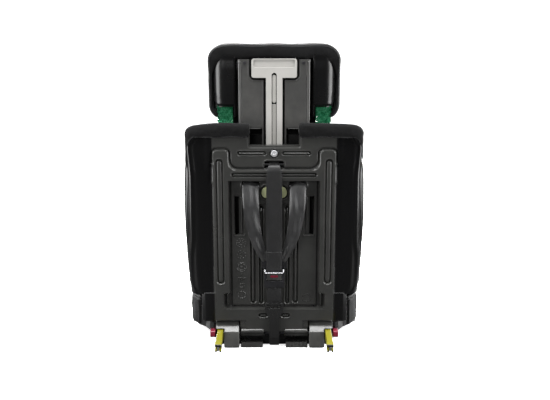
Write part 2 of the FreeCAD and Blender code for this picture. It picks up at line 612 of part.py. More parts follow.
def front_harness():
    """Crotch strap, buckle, tongues and lap straps: they stay with the base."""
    save("crotch_strap", ribbon([(-64, 84), (-64, 140), (-56, 158)], WEB, WEB_T))
    pad = ribbon([(-46, 142), (-34, 164)], 60, 9)
    save("crotch_pad", pad)
    lean = 24.0

    def leaned(shape):
        turned = shape.copy()
        turned.rotate(V(0, -56, 158), V(1, 0, 0), -lean)
        return turned

    body = prism("xz", [(-21, 160, 6), (21, 160, 6), (31, 214, 8), (-31, 214, 8)], -68, -48)
    well = plate_xz(-14, 14, 172, 196, -72, -60.8, 3)
    mouths = pair(box(2, 25, -60.6, -55.4, 196, 216))
    save("buckle_body", leaned(body.cut([well] + mouths)))
    save("buckle_button", leaned(plate_xz(-13.4, 13.4, 172.6, 195.4, -70.5, -65.2, 2.6)))
    blade = plate_xz(3, 24, 198, 226, -60, -56, 2)
    head = plate_xz(3, 34, 222, 246, -62, -54, 4).cut(plate_xz(8, 29, 230, 238, -70, -50, 1.5))
    tongue = fused([blade, head])
    save("buckle_tongues", *[leaned(shape) for shape in pair(tongue)])
    lap_path = [(36, -18, 222), (76, 14, 200), (124, 52, 176), (158, 88, 162), (168.5, 108, 152),
                (168.5, 112, 80)]
    lap = ribbon_across(lap_path, 30, WEB_T)
    save("lap_straps", *pair(lap))

    housing = plate_xy(-30, 30, -228, -208.5, DECK + 0.2, 130, 5)
    housing = housing.cut([plate_xz(-17, 17, 98, 103, -240, -200, 1),
                           plate_xy(-22, 22, -224, -212, 110, 140, 3)])
    save("adjuster_body", housing)
    save("adjuster_button", plate_xy(-21.5, 21.5, -223.5, -212.5, 117, 133, 2.8))
    tail = ribbon([(-229.4, 100.4), (-239.5, 98), (-240.6, 28)], 25, WEB_T)
    save("adjuster_tail", tail)


def ribbon_across(points, width, thickness):
    """Webbing that runs across the seat along (x, y, z) points with its width upright."""
    pieces = []
    for i in range(len(points) - 1):
        a, b = V(*points[i]), V(*points[i + 1])
        along = (b - a).normalize()
        wide = V(0, 0.35, 1).normalize()
        wide = (wide - along * wide.dot(along)).normalize()
        if abs(along.z) > 0.9:
            wide = V(0, 1, 0)
        normal = along.cross(wide).normalize()
        corners = []
        for end in (a, b):
            for side, face in ((-1, -1), (1, -1), (1, 1), (-1, 1)):
                corners.append(end + wide * (side * width / 2) + normal * (face * thickness / 2))
        wires = [Part.makePolygon(loop + [loop[0]]) for loop in (corners[:4], corners[4:])]
        pieces.append(Part.makeLoft(wires, True, True))
    return fused(pieces)


os.makedirs("parts", exist_ok=True)
backrest()
headrest()
harness()
base()
anchor_connectors()
front_harness()
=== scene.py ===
import math
import bpy
import bmesh
import numpy as np
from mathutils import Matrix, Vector


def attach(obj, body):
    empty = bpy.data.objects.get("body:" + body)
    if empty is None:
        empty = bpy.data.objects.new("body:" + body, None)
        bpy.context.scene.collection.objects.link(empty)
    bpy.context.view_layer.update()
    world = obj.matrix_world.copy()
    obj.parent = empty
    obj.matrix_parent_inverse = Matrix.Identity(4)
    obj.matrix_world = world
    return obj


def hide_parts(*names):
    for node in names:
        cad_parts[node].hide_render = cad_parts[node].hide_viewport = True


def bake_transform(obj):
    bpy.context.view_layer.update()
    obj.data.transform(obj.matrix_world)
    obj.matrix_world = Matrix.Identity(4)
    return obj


# Looks of the child car seat. Shapes are worked out in millimetres in the CAD's own frame: backrest and
# headrest pieces are drawn upright and then tilted back about the recline axle, as the CAD does.

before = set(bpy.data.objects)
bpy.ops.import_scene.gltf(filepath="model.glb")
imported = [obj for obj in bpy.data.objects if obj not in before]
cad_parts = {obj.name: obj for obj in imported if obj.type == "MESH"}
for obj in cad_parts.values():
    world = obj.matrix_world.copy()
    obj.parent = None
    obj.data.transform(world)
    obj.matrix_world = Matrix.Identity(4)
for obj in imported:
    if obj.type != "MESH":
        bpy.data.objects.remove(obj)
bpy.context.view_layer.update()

RECLINE = math.radians(8.0)
PIVOT = (186.0, 36.0)
MM = 0.001
SCENE = bpy.context.scene


# ---- frames and meshes --------------------------------------------------------------------------------
def turned(points, sign):
    """Millimetre points turned about the recline axle by sign times the recline."""
    p = np.asarray(points, float).reshape(-1, 3)
    dy = p[:, 1] - PIVOT[0]
    dz = p[:, 2] - PIVOT[1]
    c, s = math.cos(RECLINE), sign * math.sin(RECLINE)
    return np.stack([p[:, 0], PIVOT[0] + dy * c + dz * s, PIVOT[1] - dy * s + dz * c], 1)


def tilt(points):
    """Upright backrest millimetres to scene metres."""
    return turned(points, 1) * MM


def upright(points):
    """Scene metres back to upright backrest millimetres."""
    return turned(np.asarray(points, float) / MM, -1)


def level(points):
    """Base millimetres to scene metres."""
    return np.asarray(points, float).reshape(-1, 3) * MM


def ease(t):
    """Smooth step of a value clipped to 0..1."""
    t = np.clip(t, 0, 1)
    return t * t * (3 - 2 * t)


def hump(d, at, width):
    """Bell of height 1 at distance d = at."""
    return np.exp(-((d - at) / width) ** 2)


def waves(a, b, seed, size, octaves=3):
    """Smooth repeatable unevenness in -1..1 over two coordinate arrays, with bumps about size across."""
    rng = np.random.RandomState(seed)
    total = np.zeros(np.broadcast(a, b).shape)
    weight = 0.0
    for octave in range(octaves):
        amount = 0.6 ** octave
        for _ in range(4):
            angle = rng.uniform(0, math.pi)
            k = 2 * math.pi / (size * rng.uniform(0.7, 1.4)) * 1.7 ** octave
            along = a * math.cos(angle) + b * math.sin(angle)
            total = total + amount * np.sin(k * along + rng.uniform(0, 6.28))
            weight += amount
    return total / weight * 1.6


def linked(name, mesh):
    obj = bpy.data.objects.new(name, mesh)
    SCENE.collection.objects.link(obj)
    return obj


def smoothed(mesh, sharp=None):
    mesh.polygons.foreach_set("use_smooth", [True] * len(mesh.polygons))
    if sharp:
        mesh.set_sharp_from_angle(angle=math.radians(sharp))


def mesh_of(bm, name):
    """Ends a bmesh and gives its contents as a mesh with outward faces."""
    bmesh.ops.recalc_face_normals(bm, faces=bm.faces)
    mesh = bpy.data.meshes.new(name)
    bm.to_mesh(mesh)
    bm.free()
    return mesh


def bmesh_of(verts, faces):
    mesh = bpy.data.meshes.new("temp")
    mesh.from_pydata([tuple(v) for v in np.asarray(verts)], [], [tuple(int(i) for i in f) for f in faces])
    mesh.validate()
    bm = bmesh.new()
    bm.from_mesh(mesh)
    bpy.data.meshes.remove(mesh)
    return bm


def new_object(name, verts, faces, material, sharp=None, uvs=None):
    mesh = mesh_of(bmesh_of(verts, faces), name)
    smoothed(mesh, sharp)
    if uvs is not None:
        layer = mesh.uv_layers.new(name="UVMap")
        loops = np.zeros(len(mesh.loops), np.int64)
        mesh.loops.foreach_get("vertex_index", loops)
        layer.data.foreach_set("uv", np.asarray(uvs, np.float32)[loops].ravel())
    mesh.materials.append(material)
    return linked(name, mesh)


def place(obj, body, nodes=()):
    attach(obj, body)
    if nodes:
        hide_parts(*nodes)
    return obj


def joined(name, objs):
    """One object from several, keeping the first one's material slots."""
    meshes = [o.data for o in objs]
    bm = bmesh.new()
    materials = []
    for o in objs:
        before = len(bm.faces)
        bm.from_mesh(o.data)
        bm.faces.ensure_lookup_table()
        if o.data.materials[0] not in materials:
            materials.append(o.data.materials[0])
        index = materials.index(o.data.materials[0])
        for face in bm.faces[before:]:
            face.material_index = index
    mesh = bpy.data.meshes.new(name)
    bm.to_mesh(mesh)
    bm.free()
    for material in materials:
        mesh.materials.append(material)
    result = linked(name, mesh)
    for o in objs:
        bpy.data.objects.remove(o)
    for m in meshes:
        bpy.data.meshes.remove(m)
    return result


def loft(rings, closed_ring=True, caps=True):
    """Vertices and faces that join equal-length rings of points."""
    count = len(rings[0])
    verts = np.concatenate([np.asarray(r, float) for r in rings])
    faces = []
    last = count if closed_ring else count - 1
    for i in range(len(rings) - 1):
        for j in range(last):
            a = i * count + j
            b = i * count + (j + 1) % count
            faces.append((a, b, b + count, a + count))
    if caps:
        faces.append(tuple(range(count))[::-1])
        faces.append(tuple(range((len(rings) - 1) * count, len(rings) * count)))
    return verts, faces


def merged(parts):
    """Vertices and faces of several lofts as one."""
    faces, shift = [], 0
    for verts, own in parts:
        faces += [tuple(i + shift for i in face) for face in own]
        shift += len(verts)
    return np.concatenate([verts for verts, own in parts]), faces


def evenly(loop, step, count=None):
    """Closed section resampled at a step, then to a fixed count of points if one is given."""
    dense = resample(loop + loop[:1], step)[:-1, :2]
    if count:
        index = np.linspace(0, len(dense), count, endpoint=False)
        wrap = np.concatenate([dense, dense[:1]])
        dense = np.stack([np.interp(index, np.arange(len(wrap)), wrap[:, k]) for k in (0, 1)], 1)
    return dense


def resample(points, step):
    """Catmull-Rom curve through the points, at about the given spacing."""
    p = np.asarray(points, float)
    ext = np.concatenate([[2 * p[0] - p[1]], p, [2 * p[-1] - p[-2]]])
    out = []
    for i in range(1, len(ext) - 2):
        a, b, c, d = ext[i - 1:i + 3]
        n = max(2, int(np.linalg.norm((c - b)[:3]) / step))
        for t in np.linspace(0, 1, n, endpoint=False):
            out.append(0.5 * (2 * b + (c - a) * t + (2 * a - 5 * b + 4 * c - d) * t * t
                              + (3 * b - a - 3 * c + d) * t ** 3))
    out.append(ext[-2])
    return np.array(out)


def tube_points(path, radius, sides=8):
    """Rings of a round tube along a path."""
    path = np.asarray(path, float)
    rings = []
    tangent = np.gradient(path, axis=0)
    tangent /= np.linalg.norm(tangent, axis=1)[:, None]
    side = np.cross(tangent[0], [0, 0, 1.0])
    if np.linalg.norm(side) < 0.1:
        side = np.cross(tangent[0], [0, 1.0, 0])
    side /= np.linalg.norm(side)
    for i, centre in enumerate(path):
        side = side - tangent[i] * (side @ tangent[i])
        side /= np.linalg.norm(side)
        up = np.cross(tangent[i], side)
        angles = [2 * math.pi * k / sides for k in range(sides)]
        rings.append([centre + radius * (math.cos(a) * side + math.sin(a) * up) for a in angles])
    return rings


def tube(name, path, radius, material, place_points=tilt, sides=8):
    verts, faces = loft(tube_points(path, radius, sides))
    return new_object(name, place_points(verts), faces, material, sharp=60)


def profile_solid(name, outline, plane, low, high, material, bevel=1.0, segments=3):
    """Outline extruded along an axis in upright coordinates, with its edges rounded."""
    order = {"xy": (0, 1, 2), "xz": (0, 2, 1), "yz": (1, 2, 0)}[plane]
    rings = []
    for h in (low, high):
        ring = np.zeros((len(outline), 3))
        ring[:, order[:2]] = outline
        ring[:, order[2]] = h
        rings.append(ring)
    bm = bmesh_of(*loft(rings))
    bmesh.ops.recalc_face_normals(bm, faces=bm.faces)
    edges = [e for e in bm.edges if len(e.link_faces) == 2 and e.calc_face_angle() > math.radians(25)]
    bmesh.ops.bevel(bm, geom=edges, offset=bevel, segments=segments, profile=0.5, affect="EDGES",
                    clamp_overlap=True)
    bm.verts.ensure_lookup_table()
    points = np.array([v.co for v in bm.verts])
    faces = [[v.index for v in f.verts] for f in bm.faces]
    bm.free()
    return new_object(name, tilt(points), faces, material, sharp=35)


def rounded(x0, x1, z0, z1, radius, steps=6):
    """Rounded rectangle outline."""
    pts = []
    for cx, cz, a0 in ((x1 - radius, z1 - radius, 0), (x0 + radius, z1 - radius, 90),
                       (x0 + radius, z0 + radius, 180), (x1 - radius, z0 + radius, 270)):
        for k in range(steps + 1):
            a = math.radians(a0 + 90 * k / steps)
            pts.append((cx + radius * math.cos(a), cz + radius * math.sin(a)))
    return pts


# ---- materials ----------------------------------------------------------------------------------------
def shader(name):
    material = bpy.data.materials.new(name)
    material.use_nodes = True
    nodes = material.node_tree.nodes
    links = material.node_tree.links
    return material, nodes, links, nodes["Principled BSDF"]


def textured(nodes, kind, coords, links, **values):
    node = nodes.new(kind)
    for key, value in values.items():
        if key in node.inputs:
            node.inputs[key].default_value = value
        else:
            setattr(node, key, value)
    links.new(coords, node.inputs["Vector"])
    return node


def ramp(nodes, links, source, low, high, first, last):
    node = nodes.new("ShaderNodeMapRange")
    node.inputs["From Min"].default_value = low
    node.inputs["From Max"].default_value = high
    node.inputs["To Min"].default_value = first
    node.inputs["To Max"].default_value = last
    links.new(source, node.inputs["Value"])
    return node.outputs["Result"]


def mix_colour(nodes, links, factor, a, b):
    node = nodes.new("ShaderNodeMix")
    node.data_type = "RGBA"
    node.inputs[6].default_value = (*a, 1)
    node.inputs[7].default_value = (*b, 1)
    links.new(factor, node.inputs[0])
    return node.outputs[2]


def bump(nodes, links, heights, target):
    """Chains bumps of (height output, strength, distance) into the shader's normal."""
    previous = None
    for height, strength, distance in heights:
        node = nodes.new("ShaderNodeBump")
        node.inputs["Strength"].default_value = strength
        node.inputs["Distance"].default_value = distance
        links.new(height, node.inputs["Height"])
        if previous:
            links.new(previous, node.inputs["Normal"])
        previous = node.outputs["Normal"]
    links.new(previous, target.inputs["Normal"])


def plastic(name, colour, rub_colour, roughness, grain, rub, shine):
    """Moulded plastic: fine grain, patches rubbed smoother, and a little unevenness in the reflections."""
    material, nodes, links, bsdf = shader(name)
    coords = nodes.new("ShaderNodeTexCoord").outputs["Object"]
    patches = textured(nodes, "ShaderNodeTexNoise", coords, links, Scale=14.0, Detail=5.0, Roughness=0.62)
    fine = textured(nodes, "ShaderNodeTexNoise", coords, links, Scale=1500.0, Detail=2.0)
    broad = textured(nodes, "ShaderNodeTexNoise", coords, links, Scale=22.0, Detail=1.0)
    lighter = rub_colour or tuple(min(1, c * 1.5 + 0.01) for c in colour)
    factor = ramp(nodes, links, patches.outputs["Fac"], 0.42, 0.68, 0.0, 1.0)
    links.new(mix_colour(nodes, links, factor, colour, lighter), bsdf.inputs["Base Color"])
    links.new(ramp(nodes, links, patches.outputs["Fac"], 0.35, 0.7, roughness + rub * 0.4, roughness - rub),
              bsdf.inputs["Roughness"])
    bsdf.inputs["Specular IOR Level"].default_value = shine
    bump(nodes, links, [(broad.outputs["Fac"], 0.12, 0.004), (fine.outputs["Fac"], grain, 0.0002)], bsdf)
    return material


def cloth(name, colour, weave=900.0, sheen=0.5, strength=0.35, fold=0.3):
    """Woven cover fabric: two crossing thread directions, soft folds, and a light sheen."""
    material, nodes, links, bsdf = shader(name)
    coords = nodes.new("ShaderNodeTexCoord").outputs["Object"]
    threads = []
    for direction in ("X", "Z"):
        wave = textured(nodes, "ShaderNodeTexWave", coords, links, Scale=weave, Distortion=1.2, Detail=1.0)
        wave.bands_direction = direction
        threads.append(wave.outputs["Fac"])
    both = nodes.new("ShaderNodeMath")
    both.operation = "MULTIPLY"
    links.new(threads[0], both.inputs[0])
    links.new(threads[1], both.inputs[1])
    soft = textured(nodes, "ShaderNodeTexNoise", coords, links, Scale=38.0, Detail=3.0)
    tone = textured(nodes, "ShaderNodeTexNoise", coords, links, Scale=9.0, Detail=4.0)
    dark = tuple(c * 0.65 for c in colour)
    light = tuple(min(1, c * 1.35) for c in colour)
    factor = ramp(nodes, links, tone.outputs["Fac"], 0.3, 0.7, 0.0, 1.0)
    links.new(mix_colour(nodes, links, factor, dark, light), bsdf.inputs["Base Color"])
    bsdf.inputs["Roughness"].default_value = 0.88
    bsdf.inputs["Sheen Weight"].default_value = sheen
    bsdf.inputs["Sheen Roughness"].default_value = 0.45
    bsdf.inputs["Specular IOR Level"].default_value = 0.12
    bump(nodes, links, [(soft.outputs["Fac"], fold, 0.006), (both.outputs[0], strength, 0.0004)], bsdf)
    return material


def woven_strap(name, colour, gloss=0.36, shine=0.5):
    """Webbing: lengthwise ribs and a fine cross weave, drawn along the strap's own width and length."""
    material, nodes, links, bsdf = shader(name)
    uv = nodes.new("ShaderNodeTexCoord").outputs["UV"]
    ribs = textured(nodes, "ShaderNodeTexWave", uv, links, Scale=190.0, Distortion=0.4)
    ribs.bands_direction = "X"
    cross = textured(nodes, "ShaderNodeTexWave", uv, links, Scale=520.0, Distortion=0.8, Detail=1.0)
    cross.bands_direction = "DIAGONAL"
    tone = textured(nodes, "ShaderNodeTexNoise", uv, links, Scale=30.0, Detail=3.0)
    dark = tuple(c * 0.6 for c in colour)
    light = tuple(min(1, c * 1.5) for c in colour)
    factor = ramp(nodes, links, tone.outputs["Fac"], 0.3, 0.75, 0.0, 1.0)
    links.new(mix_colour(nodes, links, factor, dark, light), bsdf.inputs["Base Color"])
    bsdf.inputs["Roughness"].default_value = gloss
    bsdf.inputs["Specular IOR Level"].default_value = shine
    bsdf.inputs["Sheen Weight"].default_value = 0.1
    bsdf.inputs["Anisotropic"].default_value = 0.4
    bump(nodes, links, [(ribs.outputs["Fac"], 0.35, 0.0004), (cross.outputs["Fac"], 0.3, 0.0002)], bsdf)
    return material


def metal(name, colour, roughness, scratch=0.15):
    material, nodes, links, bsdf = shader(name)
    coords = nodes.new("ShaderNodeTexCoord").outputs["Object"]
    smear = textured(nodes, "ShaderNodeTexNoise", coords, links, Scale=90.0, Detail=6.0)
    links.new(ramp(nodes, links, smear.outputs["Fac"], 0.3, 0.7, roughness, roughness + 0.15),
              bsdf.inputs["Roughness"])
    bsdf.inputs["Base Color"].default_value = (*colour, 1)
    bsdf.inputs["Metallic"].default_value = 1.0
    bump(nodes, links, [(smear.outputs["Fac"], scratch, 0.0003)], bsdf)
    return material


def clear_core(name, colour):
    material, nodes, links, bsdf = shader(name)
    coords = nodes.new("ShaderNodeTexCoord").outputs["Object"]
    tone = textured(nodes, "ShaderNodeTexNoise", coords, links, Scale=120.0, Detail=2.0)
    factor = ramp(nodes, links, tone.outputs["Fac"], 0.35, 0.7, 0.0, 1.0)
    # the lighter tone mixed in by noise is painted highlight on the tubes
    light = tuple(min(1, c * 2.2 + 0.09) for c in colour)
    links.new(mix_colour(nodes, links, factor, colour, light), bsdf.inputs["Base Color"])
    bsdf.inputs["Roughness"].default_value = 0.12
    bsdf.inputs["Transmission Weight"].default_value = 0.45
    bsdf.inputs["IOR"].default_value = 1.35
    # a weak emission is a painted glow that brightens the green; the cores are no lamp
    bsdf.inputs["Emission Color"].default_value = (*colour, 1)
    bsdf.inputs["Emission Strength"].default_value = 0.12
    return material


# name: colour, rubbed colour, roughness, grain, how far rubbing smooths it, specular level
PLASTICS = {
    "panel": ("panel_charcoal", (0.0175, 0.0175, 0.0165), None, 0.32, 0.3, 0.1, 0.5),
    "gloss": ("shell_black", (0.0017, 0.0017, 0.0019), (0.004, 0.004, 0.004), 0.3, 0.1, 0.06, 0.27),
    "plate": ("plate_grey", (0.026, 0.026, 0.025), (0.046, 0.045, 0.043), 0.4, 0.4, 0.12, 0.45),
    "housing": ("housing_grey", (0.022, 0.022, 0.0205), (0.05, 0.05, 0.047), 0.38, 0.35, 0.12, 0.5),
    "handle": ("handle_grey", (0.27, 0.265, 0.25), (0.3, 0.29, 0.28), 0.38, 0.1, 0.05, 0.4),
    "rod": ("rod_grey", (0.26, 0.254, 0.238), (0.29, 0.282, 0.268), 0.4, 0.1, 0.05, 0.4),
    "yellow": ("connector_yellow", (0.138, 0.126, 0.0045), (0.155, 0.14, 0.011), 0.4, 0.1, 0.06, 0.4),
    "black": ("connector_black", (0.006, 0.006, 0.006), (0.01, 0.01, 0.01), 0.34, 0.2, 0.12, 0.4),
    # shade_black is painted shade: a near-black finish for the channel walls seen through the back's openings and for
    # the T handle's pocket floor
    "shade_black": ("shade_black", (0.002, 0.002, 0.002), (0.003, 0.003, 0.003), 0.6, 0.3, 0.12, 0.15),
    "red": ("button_red", (0.1, 0.003, 0.012), (0.14, 0.01, 0.025), 0.3, 0.05, 0.05, 0.4),
    "lime": ("insert_lime", (0.32, 0.34, 0.19), (0.33, 0.35, 0.19), 0.45, 0.1, 0.05, 0.4),
}
MAT = {key: plastic(*row) for key, row in PLASTICS.items()}
MAT.update({
    "fabric": cloth("cover_fabric", (0.0019, 0.0019, 0.0021), 950.0, sheen=0.035),
    "piping": cloth("piping_fabric", (0.007, 0.007, 0.0075), 1600.0, sheen=0.06),
    "web": woven_strap("webbing", (0.0145, 0.0145, 0.015), gloss=0.32),
    "dark_web": woven_strap("tether_webbing", (0.0036, 0.0036, 0.0039), gloss=0.42, shine=0.33),
    "thread": cloth("stitch_thread", (0.012, 0.012, 0.012), 3000.0),
    "steel": metal("bright_steel", (0.4, 0.4, 0.415), 0.3, scratch=0.05),
    "zinc": metal("zinc_plate", (0.85, 0.85, 0.87), 0.32, scratch=0.05),
    "dark_steel": metal("dark_steel", (0.05, 0.05, 0.054), 0.35),
    "core": clear_core("core_green", (0.014, 0.145, 0.066)),
})


def hard(node, material, bevel):
    """A CAD part shown as it is, with rounded edges and its finish."""
    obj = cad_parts[node]
    mesh = obj.data
    mesh.materials.clear()
    mesh.materials.append(MAT[material])
    if "custom_normal" in mesh.attributes:
        mesh.attributes.remove(mesh.attributes["custom_normal"])
    smoothed(mesh)
    weld = obj.modifiers.new("weld", "WELD")
    weld.merge_threshold = 0.00002
    flat = obj.modifiers.new("flat", "DECIMATE")
    flat.decimate_type = "DISSOLVE"
    flat.angle_limit = math.radians(1.0)
    if bevel > 0:
        edge = obj.modifiers.new("edge", "BEVEL")
        edge.width = bevel * MM
        edge.segments = 2
        edge.limit_method = "ANGLE"
        edge.angle_limit = math.radians(35.0)
        edge.harden_normals = True


# ---- backrest moulding --------------------------------------------------------------------------------
# Height, half width and front edge of the wings, as in the solid.
WING = [(145, 216, 112), (230, 225, 72), (343, 229, 52), (430, 227, 52), (507, 224, 70), (562, 215, 104)]
SKIN_Y = 197.0                # rear face of the skin; the heights below are over it
FRAME_RISE = 4.2              # raised frame
PANEL_LEVEL = -8.6            # recessed middle panel
RECESS = 13.4                 # moat round the middle panel
POCKET = 13.0                 # corner pockets and slot shelves
GROOVE = 4.6                  # depth of the long grooves
BOLT_HEIGHT = 514
FLARE = 4.0                   # how much wider a wing is at its front edge
PLATE_FACE = 174.0            # rear face of the carriage plate
POCKET_GAP = 5.2              # space round the T handle
ROLL_POINTS = 60              # points round a shoulder roll


def turn_radius(z):
    """Radius at which the rear skin turns forward into the wing's flank: tighter towards the top."""
    return 30.0 - 13.0 * ease((z - 470) / 70)


def wing_values(z):
    """Half width and front edge of the wing at height z, smoothed."""
    rows = np.array(WING, float)
    shifts = np.linspace(-30, 30, 9)
    half = np.mean([np.interp(z + s, rows[:, 0], rows[:, 1]) for s in shifts], axis=0)
    front = np.mean([np.interp(z + s, rows[:, 0], rows[:, 2]) for s in shifts], axis=0)
    return half, front


# Height and half width of the ridge along a wing.
RIDGE = np.array([(150, 199), (158, 208), (175, 212), (210, 213), (250, 213), (272, 210), (300, 207.5),
                  (457, 207.3), (500, 211), (530, 214), (542, 211), (552, 200)], float)


def wing_relief(x, z):
    """Ridge near the wing's edge and the valley outside it, as a height over the skin."""
    ridge = np.mean([np.interp(z + k, RIDGE[:, 0], RIDGE[:, 1]) for k in np.linspace(-9, 9, 7)], axis=0)
    away = np.abs(x) - ridge
    upper = ease((z - 255) / 30) * np.clip((556 - z) / 14, 0, 1)
    h = 2.0 * hump(away, 0, np.where(away < 0, 2.8, 7.0)) * np.clip((z - 147) / 8, 0, 1)
    h -= 4.4 * upper * hump(away, 11.5, 3.6)
    h -= 1.4 * hump(away, -8.0, 5.0)
    return h


def rect(x, z, x0, x1, z0, z1, r=0.0):
    """Signed distance to a rounded rectangle, negative inside."""
    dx = np.abs(x - (x0 + x1) / 2) - (x1 - x0) / 2 + r
    dz = np.abs(z - (z0 + z1) / 2) - (z1 - z0) / 2 + r
    return np.hypot(np.maximum(dx, 0), np.maximum(dz, 0)) + np.minimum(np.maximum(dx, dz), 0) - r


def inside(d, width):
    """1 inside a shape, 0 outside, with a smooth slope of the given width at its edge."""
    return ease(0.5 - d / width)


def smooth_union(a, b, k):
    h = np.clip(0.5 + 0.5 * (b - a) / k, 0, 1)
    return b + (a - b) * h - k * h * (1 - h)


def settled(h, distance, slope, height):
    """The relief h, brought to a new height inside a shape, with a slope along the shape's edge."""
    mask = inside(distance, slope)
    return h * (1 - mask) + height * mask


def relief(x, z):
    """Height of the backrest's rear face over its skin, in millimetres."""
    ax = np.abs(x)
    pillar = rect(ax, z, 114, 152, 20, 522, 9)
    beam = rect(ax, z, -150, 150, 444, 472.5, 2)
    foot = rect(ax, z, -152, 152, 20, 107, 2)
    shape = smooth_union(smooth_union(pillar, beam, 22.0), foot, 4.0)
    h = 1.4 * inside(rect(ax, z, -170, 170, 474, 700, 2), 8.0)
    moat = hump(shape, 3.8, 2.3) * inside(rect(ax, z, -158, 158, 446, 560, 1), 10.0)
    h -= 4.6 * moat * (shape > -2)
    h = settled(h, shape, 2.8, FRAME_RISE)
    side = np.clip((ax - 152.5) / 3.0, 0, 1) * np.clip((196 - ax) / 34, 0, 1)
    h -= 3.2 * side * np.clip((528 - z) / 40, 0, 1)

    hollow = inside(rect(ax, z, -114, 114, 107, 444, 3), 2.6)
    h = h * (1 - hollow) - RECESS * hollow
    panel = inside(rect(ax, z, -108.5, 108.5, 113.6, 446, 2.5), 2.8)
    h = h * (1 - panel * hollow) + PANEL_LEVEL * panel * hollow
    pocket = rect(ax, z, 113, 129, 108, 149, 5)
    h = settled(h, pocket, 2.4, -POCKET)
    h += 5.0 * inside(rect(ax, z, 119.5, 124, 114, 144, 2), 2.2)
    channel = smooth_union(rect(ax, z, -26.5, 26.5, 105, 384, 4), rect(ax, z, -40, 40, 368, 383, 3), 4.0)
    h -= 4.0 * inside(channel, 2.4) * hollow
    well = rect(ax, z, -34, 34, 395, 430.5, 13)
    h = settled(h, well, 2.2, -14.5)
    h += 1.4 * hump(well, 2.0, 1.5)
    shelf = rect(ax, z, 75, 100, 302, 404, 2)
    h = settled(h, shelf, 2.0, -POCKET)
    h += 1.2 * hump(shelf, 1.8, 1.4) * (z < 306)
    h += 2.2 * inside(rect(ax, z, 80.5, 83.5, 306, 400, 1), 1.6)
    mouth = rect(ax, z, 36.5, 81.5, 428, 442, 3)
    h = settled(h, mouth, 2.4, -12.5)
    h += 1.3 * hump(mouth, 1.8, 1.4) * (z < 436)

    grooves = [(20, 91, 509, 519.5, 0.2), (-106, 106, 454.5, 465.5, 0.2), (127, 146, 175, 500, 0.6),
               (17, 40, 84.5, 95, 0.2), (47, 61, 119, 352, 0.2), (28, 38.5, 117, 378, 0.4)]
    for x0, x1, z0, z1, sunk in grooves:
        half = min(x1 - x0, z1 - z0) / 2
        d = rect(ax, z, x0, x1, z0, z1, half - 0.2)
        h -= GROOVE * inside(d + 0.4, 2.4)
        core = np.clip((-d - 2.9) / (half - 2.9), 0, 1)
        h += (GROOVE - sunk) * np.sqrt(1 - (1 - core) ** 2)
        h += 0.7 * hump(d, 1.6, 1.3)
    tether = rect(ax, z, -25.5, 25.5, 475, 495, 9)
    h = settled(h, tether, 3.0, -6.0)
    h += 1.2 * hump(tether, 1.8, 1.5)
    h -= 2.6 * inside(np.hypot(x, z - BOLT_HEIGHT) - 11.5, 2.0)
    h -= 1.6 * inside(rect(ax, z, -66, 66, 528, 700, 6), 5.0)
    return h


def lines(exact, ranges, gap=0.75):
    """Sorted grid lines: every exact value, and (start, end, step) ranges that keep clear of them."""
    values = []
    for start, end, step in ranges:
        values += list(np.linspace(start, end, max(2, int(round((end - start) / step)) + 1)))
    kept = [v for v in values if min(abs(v - e) for e in exact) > gap]
    result = []
    for v in sorted(kept + list(exact)):
        if not result or v - result[-1] > 0.3 or v in exact:
            if result and v - result[-1] < 0.3:
                result[-1] = v
            else:
                result.append(v)
    return np.array(result)


def skin_point(s, z, offset):
    """Point on the moulding at arc length s along its section, raised by offset."""
    half, front = wing_values(z)
    radius = turn_radius(z)
    sign = np.sign(s)
    a = np.abs(s)
    flat = half - radius
    bend = radius * math.pi / 2
    phi = np.clip((a - flat) / radius, 0, math.pi / 2)
    run = np.maximum(a - flat - bend, 0)
    length = np.hypot(FLARE, SKIN_Y - radius - front)
    x = np.minimum(a, flat) + radius * np.sin(phi) + run * FLARE / length
    y = SKIN_Y - radius + radius * np.cos(phi) - run * (SKIN_Y - radius - front) / length
    nx = np.sin(phi)
    ny = np.cos(phi)
    return np.stack([sign * (x + nx * offset), y + ny * offset, z], -1)


def wing_end(z):
    """Arc length from the middle of the back to the wing's front edge."""
    half, front = wing_values(z)
    radius = turn_radius(z)
    return half - radius + radius * math.pi / 2 + np.hypot(FLARE, SKIN_Y - radius - front)


def merge_flat_blocks(bm, used, shift, cols, block=14):
    """Joins the flat cells of the hidden side into larger faces, one block of cells at a time."""
    bm.verts.ensure_lookup_table()
    place_of = [divmod(int(i) - shift, cols) if i >= shift else None for i in used]
    verts = [bm.verts[k] for k, at in enumerate(place_of) if at]
    edges = []
    for edge in bm.edges:
        a, b = (place_of[v.index] for v in edge.verts)
        if not a or not b:
            continue
        border = (a[0] == b[0] and a[0] % block == 0) or (a[1] == b[1] and a[1] % block == 0)
        if not border:
            edges.append(edge)
    bmesh.ops.dissolve_limit(bm, angle_limit=math.radians(1.2), use_dissolve_boundaries=False, verts=verts,
                             edges=edges)


